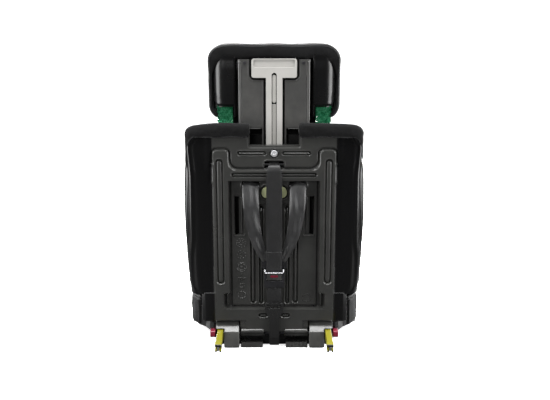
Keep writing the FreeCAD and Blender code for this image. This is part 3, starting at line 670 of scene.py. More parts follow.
def sheet_solid(name, outer, inner, keep, material, sharp=38, merge_inner=True):
    """Closed solid between two grids of upright points, over the cells that are kept."""
    rows, cols = outer.shape[:2]
    index = np.arange(rows * cols).reshape(rows, cols)
    shift = rows * cols
    verts = np.concatenate([tilt(outer), tilt(inner)])
    faces = []
    for j, i in zip(*np.nonzero(keep)):
        a, b, c, d = index[j, i], index[j, i + 1], index[j + 1, i + 1], index[j + 1, i]
        faces.append((a, b, c, d))
        faces.append((d + shift, c + shift, b + shift, a + shift))
        beside = ((a, b, j - 1, i), (b, c, j, i + 1), (c, d, j + 1, i), (d, a, j, i - 1))
        for p, q, nj, ni in beside:
            out = nj < 0 or ni < 0 or nj >= rows - 1 or ni >= cols - 1
            if out or not keep[nj, ni]:
                faces.append((p, p + shift, q + shift, q))
    used = np.unique(np.concatenate([np.array(f) for f in faces]))
    remap = np.full(len(verts), -1)
    remap[used] = np.arange(len(used))
    bm = bmesh_of(verts[used], [[remap[i] for i in f] for f in faces])
    if merge_inner:
        merge_flat_blocks(bm, used, shift, cols)
    mesh = mesh_of(bm, name)
    smoothed(mesh, sharp)
    mesh.materials.append(material)
    return linked(name, mesh)


def back_moulding():
    half_lines = lines([0, 23.5, 38, 61.5, 73, 80, 89.5, 94.5, 99.5, 152], [(0, 152, 1.35)])
    spans = [(0, 0.19, 14), (0.19, 0.5, 50), (0.5, 1, 14)]
    fine = np.concatenate([np.linspace(*span)[1:] for span in spans])
    rows = lines([45, 76, 146, 303, 402, 430, 440, 478, 492.5, 533, 562],
                 [(45, 150, 1.6), (150, 172, 2.4), (172, 182, 1.6), (182, 298, 5), (298, 310, 1.6),
                  (310, 342, 5), (342, 358, 1.7), (358, 376, 4), (376, 450, 1.6), (450, 540, 1.35),
                  (540, 562, 2.4)])
    end = wing_end(rows)
    outward = np.concatenate([np.repeat(half_lines[None], len(rows), 0),
                              152 + (end[:, None] - 152) * fine[None]], 1)
    s = np.concatenate([-outward[:, :0:-1], outward], 1)
    z = np.repeat(rows[:, None], s.shape[1], 1)
    base = skin_point(s, z, 0.0)
    height = relief(base[..., 0], z) * (np.abs(s) < 200) + wing_relief(base[..., 0], z) * (np.abs(s) > 156)
    outer = skin_point(s, z, height)
    inner = skin_point(s, z, -4.0)
    thick = np.abs(s) <= 152.01
    inner[..., 1] = np.where(thick, np.where(np.abs(s) <= 94.6, 178.3, 182.0), inner[..., 1])
    inner[..., 1] = np.where(thick & (z < 77), 188.5, inner[..., 1])

    cs = (s[:-1, :-1] + s[:-1, 1:] + s[1:, :-1] + s[1:, 1:]) / 4
    cz = (z[:-1, :-1] + z[1:, :-1]) / 2
    a = np.abs(cs)
    keep = np.ones_like(cs, bool)
    keep &= ~((cz < 146) & (a > 152))
    keep &= ~((cz < 76) & (a > 73))
    keep &= ~((cz > 533) & (a < 61.5))
    keep &= ~((a > 38) & (a < 80) & (cz > 430) & (cz < 440))
    keep &= ~((a > 89.5) & (a < 99.5) & (cz > 303) & (cz < 402))
    keep &= ~((a < 23.5) & (cz > 478) & (cz < 492.5))
    obj = sheet_solid("back_moulding", outer, inner, keep, MAT["back"])
    return place(obj, "backrest", ["back_shell"])


def back_material():
    """The panel's grained charcoal, turning to darker and glossier plastic on the side skins."""
    material, nodes, links, bsdf = shader("back_plastic")
    coords = nodes.new("ShaderNodeTexCoord").outputs["Object"]
    split = nodes.new("ShaderNodeSeparateXYZ")
    links.new(coords, split.inputs[0])
    away = nodes.new("ShaderNodeMath")
    away.operation = "ABSOLUTE"
    links.new(split.outputs["X"], away.inputs[0])
    side = ramp(nodes, links, away.outputs[0], 0.1525, 0.156, 0.0, 1.0)
    patches = textured(nodes, "ShaderNodeTexNoise", coords, links, Scale=11.0, Detail=6.0, Roughness=0.65)
    fine = textured(nodes, "ShaderNodeTexNoise", coords, links, Scale=1300.0, Detail=2.0)
    broad = textured(nodes, "ShaderNodeTexNoise", coords, links, Scale=16.0, Detail=1.0)
    factor = ramp(nodes, links, patches.outputs["Fac"], 0.4, 0.7, 0.0, 1.0)
    grained = mix_colour(nodes, links, factor, (0.0165, 0.0167, 0.0157), (0.0255, 0.0255, 0.024))
    colour = nodes.new("ShaderNodeMix")
    colour.data_type = "RGBA"
    links.new(side, colour.inputs[0])
    links.new(grained, colour.inputs[6])
    colour.inputs[7].default_value = (0.0016, 0.0016, 0.0018, 1)
    links.new(colour.outputs[2], bsdf.inputs["Base Color"])
    rough = nodes.new("ShaderNodeMix")
    links.new(side, rough.inputs[0])
    links.new(ramp(nodes, links, patches.outputs["Fac"], 0.35, 0.7, 0.36, 0.27), rough.inputs[2])
    rough.inputs[3].default_value = 0.24
    links.new(rough.outputs[0], bsdf.inputs["Roughness"])
    shine = ramp(nodes, links, away.outputs[0], 0.1525, 0.156, 0.45, 0.27)
    links.new(shine, bsdf.inputs["Specular IOR Level"])
    bump(nodes, links, [(broad.outputs["Fac"], 0.15, 0.004), (fine.outputs["Fac"], 0.3, 0.0002)], bsdf)
    return material


MAT["back"] = back_material()


def back_box():
    """The channel's front and side walls behind the rear panel, with the rails the headrest runs on."""
    outline = [(-104, 184), (-104, 152), (104, 152), (104, 184), (101, 184), (101, 162), (79, 162),
               (79, 157), (-79, 157), (-79, 162), (-101, 162), (-101, 184)]
    # the channel walls get the near-black painted shade, so the openings read as deep
    walls = profile_solid("channel_walls", outline, "xy", 78, 434, MAT["shade_black"], 0.8, 2)
    narrow = [(math.copysign(min(abs(x), 94.5 if abs(x) > 102 else 91.5), x), y) for x, y in outline]
    upper = profile_solid("channel_walls", narrow, "xy", 433, 556, MAT["shade_black"], 0.8, 2)
    ears = []
    for flip in (False, True):
        plan = [(150, 186), (150, 197.5), (178, 197), (187.5, 191), (187.5, 178), (184, 178), (184, 188)]
        if flip:
            plan = [(-x, y) for x, y in plan]
        ears.append(profile_solid("ear", plan, "xy", 72, 150, MAT["back"], 1.6, 3))
    knuckles = []
    for sign in (-1, 1):
        x0, x1 = sorted((26 * sign, 88 * sign))
        knuckles.append(profile_solid("knuckle", roll_outline(), "yz", x0, x1, MAT["panel"], 0.9, 2))
        x0, x1 = sorted((27 * sign, 86 * sign))
        section = [(198.5 + 6.5 * math.cos(a), 46 + 6.5 * math.sin(a)) for a in np.linspace(-2.2, 2.2, 17)]
        knuckles.append(profile_solid("ridge", section, "yz", x0, x1, MAT["panel"], 1.6, 3))
    obj = joined("back_channel", [walls, upper] + ears + knuckles)
    place(obj, "backrest", [])
    for face in obj.data.polygons:
        face.use_smooth = True
    obj.data.set_sharp_from_angle(angle=math.radians(35))
    return obj


def roll_outline():
    """Section of the lower edge: a flange that ends in a round barrel round the axle."""
    pts = []
    for k in range(19):
        a = math.radians(75 - 330 * k / 18)
        pts.append((PIVOT[0] + 10 * math.cos(a), PIVOT[1] + 10 * math.sin(a)))
    neck = [(PIVOT[0] - 2.5, 50), (PIVOT[0] - 1, 74), (PIVOT[0] + 9.5, 74), (PIVOT[0] + 9.5, 49)]
    return pts + neck


def embossed_marks():
    """Plain rings and small bars raised on the panel."""
    parts = []
    rings = [(84, 250, 4.5, 4.5), (84, 217, 12, 11.5), (84, 217, 9, 8.5), (84, 142, 10, 9.5),
             (-84, 134, 10.5, 10.5)]
    for x, z, rx, rz in rings:
        path = [(x + rx * math.cos(a), 188.5, z + rz * math.sin(a)) for a in np.linspace(0, 2 * math.pi, 33)]
        parts.append(tube("ring", path, 0.8, MAT["panel"], sides=6))
    bars = [(84, 217, 6, 6), (84, 187, 20, 2.4), (84, 190, 2.4, 17), (90, 183, 2.4, 8), (78, 168, 2.6, 13),
            (84, 172, 9, 2.4), (89, 166, 2.4, 10), (85, 162, 7, 2.4), (84, 142, 2.4, 9)]
    for x, z, radius, count in ((84, 281, 11.5, 11), (84, 281, 5.5, 6), (84, 250, 10.5, 9)):
        for a in np.linspace(0, 2 * math.pi, count, endpoint=False):
            bars.append((x + radius * math.cos(a), z + radius * math.sin(a), 3.4, 3.4))
    for x, z, w, h in bars:
        outline = rounded(x - w / 2, x + w / 2, z - h / 2, z + h / 2, min(w, h) * 0.35, 3)
        parts.append(profile_solid("bar", outline, "xz", 187.8, 189.5, MAT["panel"], 0.3, 1))
    return place(joined("panel_marks", parts), "backrest", [])


def handle_outline(x, z, gap):
    """Signed distance to the T handle's outline, grown by gap."""
    bar = rect(x, z, -55.5 - gap, 55.5 + gap, 697 - gap, 800, 6 + gap)
    stem = rect(x, z, -20.2 - gap, 20.2 + gap, 400, 720, 1)
    return np.minimum(bar, stem)


def carriage_moulding():
    """Plate that carries the headrest, with the pocket for the T handle and a rib along each side."""
    xs = lines([-88, -81, -30, -3.3, 3.3, 30, 81, 88], [(-88, 88, 1.3)])
    zs = lines([505, 510.7, 517.3, 572, 741],
               [(505, 560, 2.0), (560, 580, 1.5), (580, 688, 3.0), (688, 741, 1.3)])
    x, z = np.meshgrid(xs, zs)
    ax = np.abs(x)
    h = 1.5 * inside(rect(ax, z, 82, 87, 515, 737, 2), 1.6)
    h -= 1.0 * inside(rect(ax, z, 79.5, 81.5, 515, 737, 1), 1.6)
    edge = handle_outline(x, z, POCKET_GAP)
    h += 0.9 * hump(edge, 1.9, 1.4)
    h = settled(h, edge, 1.2, -6.4)
    window = rect(ax, z, 30, 81, 480, 572, 5)
    h -= 1.6 * hump(window, 0, 2.0) * (window > 0)
    outer = np.stack([x, PLATE_FACE + h - 1.2 * np.exp(-(88 - ax) / 1.2), z], -1)
    inner = np.stack([x, np.full_like(x, 164.0), z], -1)
    cx = np.abs(xs[:-1] + xs[1:])[None] / 2
    cz = (zs[:-1] + zs[1:])[:, None] / 2
    keep = ~((cx > 30) & (cx < 81) & (cz < 572)) & ~((cx < 3.3) & (cz > 510.7) & (cz < 517.3))
    obj = sheet_solid("carriage_moulding", outer, inner, keep, MAT["plate"])
    # the pocket floor round the T handle gets the near-black painted shade as a second slot
    obj.data.materials.append(MAT["shade_black"])
    for face in obj.data.polygons:
        p = upright(np.array([face.center]))[0]
        if handle_outline(p[0], p[2], POCKET_GAP) < -0.3 and p[1] > 165:
            face.material_index = 1
    return place(obj, "headrest", ["carriage_plate"])


def head_moulding():
    """Headrest shell: rounded rear faces beside the carriage plate that turn forward as side walls."""
    radius, half, rear, front = 28.0, 151.0, 165.0, 30.0
    flat = half - radius
    end = flat + radius * math.pi / 2 + rear - radius - front
    parts = []
    for side in (1, -1):
        ss = np.concatenate([np.linspace(95.6, 170, 50), np.linspace(174, end, 26)])
        zs = np.concatenate([np.linspace(600, 624, 8)[:-1], np.linspace(624, 668, 26),
                             np.linspace(671, 714, 14), np.linspace(716, 765, 34)])
        s, z = np.meshgrid(ss, zs)
        phi = np.clip((s - flat) / radius, 0, math.pi / 2)
        run = np.maximum(s - flat - radius * math.pi / 2, 0)
        low = 626 + 16 * np.clip((s - 144) / 20, 0, 1) ** 2
        low = np.where(s > 168, 600.0, low)
        h = 1.7 * inside(rect(s, z, 60, 156, 646, 728, 18), 24.0)
        h -= 0.5 * hump(z, 741, 6.0) * (s < 162)
        roll = np.clip((z - low) / 9.0, 0, 1)
        h -= 8.0 * (1 - np.sqrt(1 - (1 - roll) ** 2)) * (s < 168)
        h -= 1.5 * np.clip((98.6 - s) / 3, 0, 1)
        corner = np.clip((s - 120) / 40, 0, 1) * np.clip((z - 722) / 40, 0, 1)
        h -= 6.0 * corner ** 2

        def at(offset):
            x = np.minimum(s, flat) + (radius + offset) * np.sin(phi)
            y = rear - radius + (radius + offset) * np.cos(phi) - run
            return np.stack([x * side, y, z], -1)

        cs = (s[:-1, :-1] + s[1:, 1:]) / 2
        cz = (z[:-1, :-1] + z[1:, 1:]) / 2
        keep = cz > np.where(cs > 168, 600, 626 + 16 * np.clip((cs - 144) / 20, 0, 1) ** 2 - 1.5)
        inner = at(-3.2 + np.minimum(h, 0))
        parts.append(sheet_solid("head_side", at(h), inner, keep, MAT["gloss"], sharp=50, merge_inner=False))
        plan = [(95.6, 142), (95.6, 163.6), (99.6, 163.6), (99.6, 146), (104, 146), (104, 142)]
        if side < 0:
            plan = [(-x, y) for x, y in plan]
        parts.append(profile_solid("post", plan, "xy", 600, 746, MAT["gloss"], 0.8, 2))
    parts.append(profile_solid("wall", rounded(-104, 104, 576, 746, 6), "xz", 142, 146, MAT["gloss"], 0.8, 2))
    return place(joined("head_moulding", parts), "headrest", ["headrest_shell"])


def lever_mark():
    """Plain red bar on the adjuster's lever."""
    mark = profile_solid("lever_mark", rounded(-9.5, 9.5, 196.2, 201.6, 1.2), "xz", 210.0, 210.9, MAT["red"],
                         0.3, 2)
    place(mark, "tether_lever", [])


back_moulding()
back_box()
embossed_marks()
carriage_moulding()
head_moulding()
lever_mark()


# ---- webbing ------------------------------------------------------------------------------------------
def strap(name, path, widths, thickness, material="web", place_points=tilt, facing=(0, 1, 0), cup=0.4,
          step=4.0, ripple=0.0, seed=1):
    """Webbing along a path of points. Its broad face looks towards `facing`; widths go with the points."""
    count = len(path)
    data = np.column_stack([np.asarray(path, float), np.broadcast_to(widths, (count,)),
                            np.broadcast_to(np.asarray(facing, float), (count, 3))])
    dense = resample(data, step)
    points, width, facings = dense[:, :3], dense[:, 3], dense[:, 4:]
    tangent = np.gradient(points, axis=0)
    tangent /= np.linalg.norm(tangent, axis=1)[:, None]
    across = np.cross(tangent, facings)
    across /= np.linalg.norm(across, axis=1)[:, None]
    normal = np.cross(across, tangent)
    flip = np.sign((normal * facings).sum(1))
    normal *= flip[:, None]
    length = np.concatenate([[0], np.cumsum(np.linalg.norm(np.diff(points, axis=0), axis=1))])
    us = np.linspace(-0.5, 0.5, 13)
    rings, uvs = [], []
    for i in range(len(points)):
        curve = cup * (1 - (2 * us) ** 2) + ripple * np.sin(us * 9 + length[i] * 0.021 + seed) \
            * np.sin(length[i] * 0.047 + seed * 2)
        edge = thickness / 2 * np.where(np.abs(us) > 0.44, 1.12, 1.0)
        edge[0] = edge[-1] = thickness * 0.3
        top = points[i] + across[i] * (us * width[i])[:, None] + normal[i] * (curve + edge)[:, None]
        low = points[i] + across[i] * (us * width[i])[:, None] + normal[i] * (curve - edge)[:, None]
        rings.append(np.concatenate([top, low[::-1]]))
        uvs += [(u * width[i] * MM, length[i] * MM) for u in np.concatenate([us, us[::-1]])]
    verts, faces = loft(rings)
    return new_object(name, place_points(verts), faces, MAT[material], sharp=70, uvs=uvs)


def sided(points, sign):
    """Points as given for sign 1, mirrored for sign -1."""
    return [(x * sign, y, z) for x, y, z in points]


def stitches(name, rows, radius, pitch=3.2):
    """Small thread stitches along (start, end) lines."""
    parts = []
    for start, end in rows:
        start, end = np.asarray(start, float), np.asarray(end, float)
        span = end - start
        count = max(1, int(np.linalg.norm(span) / pitch))
        for k in range(count):
            a = start + span * (k + 0.15) / count
            b = start + span * (k + 0.8) / count
            parts.append(loft(tube_points([a, (a + b) / 2, b], radius, 5)))
    verts, faces = merged(parts)
    return new_object(name, tilt(verts), faces, MAT["thread"])


def rear_harness():
    parts = []
    for sign in (1, -1):
        path = sided([(59, 176, 436.5), (59, 184, 436), (59.5, 190.5, 431), (59.5, 193.6, 422),
                      (58.8, 198.6, 400), (57.6, 201.6, 378), (55.5, 200.6, 350), (49, 196.6, 310),
                      (38, 193.6, 272), (27, 191.4, 248), (21, 190.4, 236)], sign)
        widths = [40, 40, 40, 41, 41, 40, 38, 34, 28, 22, 19]
        parts.append(strap("harness_rear", path, widths, 1.9, cup=2.6, step=4, ripple=1.8,
                           seed=2 + sign))
    obj = joined("rear_harness_straps", parts)
    return place(obj, "backrest", ["harness_rear_straps"])


def tether():
    path = [(0, 191.5, 485.5), (0, 195.5, 484.2), (0, 200.5, 480.5), (0, 203.6, 472), (0, 204, 455),
            (0, 204, 380), (0, 204.2, 300), (0, 204.4, 262), (0, 205.0, 236), (0, 206.3, 216),
            (0, 206.4, 206)]
    upper = strap("tether_upper", path, [25, 26, 29, 35] + [39.4] * 7, 2.2, "dark_web", cup=0.3, step=5)
    path = [(0, 206.6, 262), (0, 206.8, 240), (0, 207.6, 222), (0, 208.6, 214)]
    flap = strap("tether_flap", path, 39.6, 2.0, "dark_web", cup=0.8)
    out = [(0, math.cos(a), math.sin(a)) for a in np.linspace(-0.3, 5.2, 16)]
    eye = [(0, 188 + 5.0 * y, 485 + 5.0 * z) for _, y, z in out]
    loop = strap("tether_eye", eye, 25.0, 2.0, "dark_web", facing=out, cup=0, step=1.5)
    obj = joined("tether_webbing", [upper, flap, loop])
    place(obj, "backrest", ["tether_strap"])
    rows = [((-17, 207.9, 258), (17, 207.9, 258)), ((-17, 208.0, 254.5), (17, 208.0, 254.5)),
            ((-17, 205.4, 268), (17, 205.4, 268))]
    place(stitches("tether_stitches", rows, 0.35), "backrest", [])
    path = [(0, 205.8, 184), (0, 206.4, 170), (0, 206.2, 150), (0, 206.0, 126), (0, 205.4, 117)]
    tail = strap("tether_lower", path, 37, 2.0, "dark_web", cup=0.3)
    path = [(0, 208.0, 166), (0, 209.2, 150), (0, 209.0, 134)]
    tail_flap = strap("tether_tail_flap", path, 37, 1.8, "dark_web", cup=1.0)
    place(joined("tether_tail_webbing", [tail, tail_flap]), "backrest", ["tether_tail"])


def adjuster_web():
    obj = strap("adjuster_strap_web", [(0, 186.2, 226), (0, 185.4, 180), (0, 185.2, 112)], 25, 1.6)
    place(obj, "backrest", ["adjuster_strap_rear"])


def bright_bars():
    """Bent wire over the tether adjuster, and the rods the harness straps turn over."""
    wire = [(-23.6, 209.0, 217), (-23.8, 211.4, 212), (-22.6, 212.4, 209.4), (-19.5, 212.6, 208.6),
            (19.5, 212.6, 208.6), (22.6, 212.4, 209.4), (23.8, 211.4, 212), (23.6, 209.0, 217)]
    parts = [tube("wire", resample(wire, 1.2), 1.3, MAT["steel"])]
    for sign in (1, -1):
        path = [(37.5 * sign, 189.4, 430.2), (80.5 * sign, 189.4, 430.2)]
        parts.append(tube("rod", resample(path, 6), 1.7, MAT["steel"]))
    place(joined("bright_bars", parts), "backrest", [])


rear_harness()
tether()
adjuster_web()
bright_bars()


# ---- hard parts shown as they are: rounding of their edges by finish ------------------------------------
HARD = {
    "zinc": {"beam_bolt": 0.5},
    "lime": {"harness_anchor_plate": 0.8},
    "black": {"beam_washer": 0.4, "tether_hook": 1.2},
    "panel": {"height_rack": 0.3, "tether_release": 0.7, "shoulder_belt_guides": 1.0,
              "belt_guide_gate_left": 0.5, "belt_guide_gate_right": 0.5, "lap_belt_guides": 0.8,
              "buckle_body": 1.2, "adjuster_body": 1.0},
    "gloss": {"base_shell": 1.8},
    "housing": {"connector_housings": 2.2, "adjuster_button": 0.8},
    "handle": {"t_handle": 1.0},
    "rod": {"release_rod": 0.8, "lock_slider": 0.8},
    "yellow": {"connector_arm_left": 1.0, "connector_arm_right": 1.0, "connector_tip_left": 0.6,
               "connector_tip_right": 0.6},
    "red": {"connector_button_left": 1.0, "connector_button_right": 1.0, "buckle_button": 1.0},
    "steel": {"tether_bar": 0.0, "tether_release_pin": 0.2, "hook_gate": 0.3, "lock_pin": 0.2,
              "connector_claw_left": 0.2, "connector_claw_right": 0.2, "connector_cross_tube": 0.3},
    "dark_steel": {"harness_yoke": 0.3, "tether_adjuster": 0.8, "plate_screws": 0.3, "recline_axle": 0.5,
                   "buckle_tongues": 0.5},
}


def paint(node, material, wanted):
    """Gives a CAD part a second finish on the faces that wanted(centre, normal) picks."""
    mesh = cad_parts[node].data
    mesh.materials.append(MAT[material])
    slot = len(mesh.materials) - 1
    for face in mesh.polygons:
        if wanted(face.center, face.normal):
            face.material_index = slot


for finish, nodes in HARD.items():
    for node, width in nodes.items():
        hard(node, finish, width)
paint("base_shell", "panel", lambda centre, normal: centre.y > 0.125 and abs(centre.x) < 0.09)
for tip in ("connector_tip_left", "connector_tip_right"):
    paint(tip, "black", lambda centre, normal: normal.y > 0.6)


# ---- soft goods ---------------------------------------------------------------------------------------
def soft_piece(name, node, body, voxel, smoothing, shape):
    """A new, evenly meshed cover with a CAD part's outline, rounded off.

    shape(points, normals) says in millimetres how far each point then moves along its normal."""
    source = linked(name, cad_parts[node].data.copy())
    remesh = source.modifiers.new("remesh", "REMESH")
    remesh.mode = "VOXEL"
    remesh.voxel_size = voxel * MM
    soften = source.modifiers.new("soften", "SMOOTH")
    soften.iterations = smoothing
    soften.factor = 0.5
    graph = bpy.context.evaluated_depsgraph_get()
    mesh = bpy.data.meshes.new_from_object(source.evaluated_get(graph))
    old = source.data
    bpy.data.objects.remove(source)
    bpy.data.meshes.remove(old)
    points, normals = np.zeros((2, len(mesh.vertices), 3))
    mesh.vertices.foreach_get("co", points.ravel())
    mesh.vertices.foreach_get("normal", normals.ravel())
    moved = points + normals * (shape(points / MM, normals) * MM)[:, None]
    mesh.vertices.foreach_set("co", moved.ravel())
    mesh.materials.clear()
    mesh.materials.append(MAT["fabric"])
    smoothed(mesh)
    mesh.polygons.foreach_set("material_index", [0] * len(mesh.polygons))
    mesh.update()
    return place(linked(name, mesh), body, [node])


def seam(distance, depth, width):
    """How far a sewn line pulls the surface in at a distance from it."""
    return -depth * np.exp(-(distance / width) ** 2)


def seat_cushion():
    def shape(p, n):
        x, y = p[:, 0], p[:, 1]
        top = np.clip(n[:, 2] * 1.6 - 0.3, 0, 1)
        panel = rect(np.abs(x), y, -108, 108, -196, 96, 30)
        lines_across = np.minimum(np.abs(y + 128), np.abs(y - 34))
        lines_across = np.where(panel < 0, lines_across, 99)
        crown = 4.5 * np.exp(-(x / 120) ** 2) * np.exp(-((y + 40) / 170) ** 2)
        puff = crown + seam(panel, 4.5, 4.5) + seam(lines_across, 3.0, 4.5)
        return top * puff + 0.7 * waves(x, y, 3, 60)

    soft_piece("seat_cushion", "seat_pad", "base", 3.0, 10, shape)
    plan = [(0, -231), (100, -231), (132, -228), (156, -214), (169, -190), (171.5, -100), (171.5, 0),
            (168, 90), (162, 122), (150, 127), (0, 127)]
    parts = []
    for sign in (1, -1):
        path = resample([(x * sign, y, 129.5) for x, y in plan[::sign]], 6)
        parts.append(tube("edge", path, 2.3, MAT["piping"], level))
    place(joined("seat_piping", parts), "base", [])


def back_cushion():
    def shape(p, n):
        local = upright(p * MM)
        x, z = local[:, 0], local[:, 2]
        front = np.clip(-n[:, 1] * 1.6 - 0.3, 0, 1)
        panel = rect(np.abs(x), z, -82, 82, 176, 600, 20)
        across = np.where(panel < 0, np.minimum(np.abs(z - 236), np.abs(z - 322)), 99)
        puff = 4.0 * np.exp(-(x / 90) ** 2) + seam(panel, 4.0, 4.0) + seam(across, 3.0, 4.5)
        return front * puff + 0.6 * waves(x, z, 5, 55)

    soft_piece("back_cushion", "back_pad", "backrest", 3.0, 8, shape)


def lining():
    def shape(p, n):
        local = upright(p * MM)
        return 0.5 * waves(local[:, 0], local[:, 2], 9, 40)

    soft_piece("upper_lining", "back_upper_lining", "backrest", 1.5, 3, shape)


def head_soft():
    def shape(p, n):
        local = upright(p * MM)
        x, y, z = local.T
        front = np.clip(-n[:, 1] * 1.5 - 0.2, 0, 1)
        panel = rect(np.abs(x), z, -74, 74, 606, 730, 24)
        puff = 4.0 * np.exp(-(x / 70) ** 2) * np.exp(-((z - 668) / 60) ** 2) + seam(panel, 3.5, 4.0)
        return front * puff + 0.5 * waves(x + y, z, 11, 45)

    soft_piece("head_cushion", "headrest_pad", "headrest", 2.6, 7, shape)


def arch(low, corner, foot, step=4.0):
    """Outline of the headrest from one lower end over the top to the other, with its ends turned inward."""
    half, top = 164.0, 777.5
    turn = np.linspace(-1.15, 0, 12)[:-1]
    right = [(half - foot + foot * math.cos(a), low + foot + foot * math.sin(a)) for a in turn]
    right += [(half, z) for z in np.arange(low + foot, top - corner, step)]
    right += [(half - corner + corner * math.cos(a), top - corner + corner * math.sin(a))
              for a in np.linspace(0, math.pi / 2, 16)]
    right = [(x, z + 0.7 * math.cos(x * 0.062) * np.clip((z - 760) / 15, 0, 1) - 1.0) for x, z in right]
    across = [(x, top + 0.7 * math.cos(x * 0.062) - 1.0) for x in np.arange(half - corner - step, 0.5, -step)]
    right += across
    return np.array(right + [(-x, z) for x, z in right[::-1]])


def head_rim():
    """Padded fabric band round the headrest, with its seam and piping."""
    line = arch(589.0, 40, 42)
    tangent = np.gradient(line, axis=0)
    tangent /= np.linalg.norm(tangent, axis=1)[:, None]
    inward = np.stack([-tangent[:, 1], tangent[:, 0]], 1)
    run = np.concatenate([[0], np.cumsum(np.linalg.norm(np.diff(line, axis=0), axis=1))])
    total = run[-1]
    rings, seam_path = [], []
    for base, normal, s in zip(line, inward, run):
        end = min(s, total - s)
        close = math.sqrt(min(1.0, (end + 0.5) / 12.0))
        up = float(ease((base[1] - 690) / 60))
        thick = 13 + 20.5 * up
        rear = 150 + 15.5 * up
        front = 22.0
        loop = [(thick * 0.92, front + 10), (thick * 0.75, front + 3), (thick * 0.45, front),
                (4, front + 2.5), (0.8, front + 10), (-0.6, front + 40), (-0.8, front + 80),
                (-0.3, rear - 18), (1.2, rear - 9), (4.6, rear - 2.6), (8.5, rear - 0.2),
                (thick * 0.6 + 1, rear + 0.3),
                (thick - 3.4, rear - 1.4), (thick - 0.4, rear - 5.5), (thick + 0.2, rear - 14),
                (thick, rear - 60), (thick, front + 40)]
        dense = evenly(loop, 4.0, len(rings[0]) if rings else None)
        middle = np.array([thick / 2, (front + rear) / 2])
        shrink = np.array([close, 0.88 + 0.12 * close])
        n, y = (middle + (dense - middle) * shrink).T
        along = np.full_like(y, s)
        fold = 0.5 * waves(along, y * 0.9, 71, 90) + 0.25 * waves(along, y * 2, 72, 34)
        n = n + np.where(n < middle[0], -fold, fold * 0.7) - 0.35
        y = y + np.where(y > 120, 0.8 * waves(along, n, 73, 34), 0)
        droop = 1.3 * math.sin(s * 0.035) * up
        point = base[None] + normal[None] * (n + np.where(n > middle[0], droop, 0))[:, None]
        rings.append(np.stack([point[:, 0], y, point[:, 1]], 1))
        p = base + normal * 4.9
        seam_path.append((p[0], rear - 1.7, p[1]))
    verts, faces = loft(rings)
    verts[:, 2] = np.minimum(verts[:, 2], 779.5)
    rim = new_object("head_rim_cover", tilt(verts), faces, MAT["fabric"], sharp=80)
    place(rim, "headrest", ["headrest_rim"])
    piping = tube("head_rim_piping", seam_path[2:-2], 1.3, MAT["piping"])
    place(piping, "headrest", [])


def small_pads():
    def shape(p, n):
        return 0.9 + 0.5 * waves(p[:, 0] + p[:, 1], p[:, 2], 31, 30)

    soft_piece("harness_pads", "shoulder_pads", "backrest", 1.7, 6, shape)
    soft_piece("crotch_cushion", "crotch_pad", "base", 1.5, 5, shape)


def side_cover_cloth():
    """The base's side covers, cut into a fine even mesh and then let hang in soft waves."""
    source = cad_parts["side_covers"].data
    bm = bmesh.new()
    bm.from_mesh(source)
    bmesh.ops.remove_doubles(bm, verts=bm.verts, dist=0.00002)
    bmesh.ops.dissolve_limit(bm, angle_limit=math.radians(1.0), verts=bm.verts, edges=bm.edges)
    cuts = [((0, 1, 0), v) for v in range(-170, 151, 9)] + [((0, 0, 1), v) for v in range(44, 210, 9)]
    cuts += [((1, 0, 0), v) for v in list(range(-236, -175, 9)) + list(range(182, 240, 9))]
    for normal, value in cuts:
        geometry = bm.verts[:] + bm.edges[:] + bm.faces[:]
        at = Vector(normal) * value * MM
        bmesh.ops.bisect_plane(bm, geom=geometry, dist=0.0001, plane_co=at, plane_no=normal)
    bm.verts.ensure_lookup_table()
    points = np.array([v.co for v in bm.verts]) / MM
    x, y, z = points.T
    sign = np.sign(x)
    edge = np.clip((70 - z) / 30, 0, 1)
    swell = 1.6 * waves(y, z * 0.8, 41, 70) + edge * 1.6 * np.sin(y * 0.11) + 0.6 * waves(y, z, 42, 25)
    points[:, 0] = x + sign * swell * np.clip((np.abs(x) - 176) / 20, 0, 1)
    points[:, 1] = y + 0.9 * waves(x, z, 43, 28) * (np.abs(y) > 140)
    hem = np.clip((48 - z) / 10, 0, 1)
    points[:, 2] = z + hem * (2.2 * np.sin(y * 0.09 + 0.7) + 1.8 * np.sin(x * 0.16))
    for vert, point in zip(bm.verts, points):
        vert.co = Vector(point) * MM
    mesh = bpy.data.meshes.new("side_cover_cloth")
    bm.to_mesh(mesh)
    bm.free()
    smoothed(mesh, 50)
    mesh.materials.clear()
    mesh.materials.append(MAT["fabric"])
    place(linked("side_cover_cloth", mesh), "base", ["side_covers"])


# Section of the padding round a wing's front edge: distance past the edge, offset from the skin.
WING_NOSE = [(1.2, -4.6), (1.6, -2.0), (1.2, 1.4), (-6, 1.6), (-13, 1.6), (-15.5, 2.6), (-15, 4.4),
             (-11, 6.2), (-4, 7.2), (4, 7.0), (10, 4.2), (13.6, -0.8), (15, -7.5), (13, -14.5), (8, -19.5), (1, -21.8)]


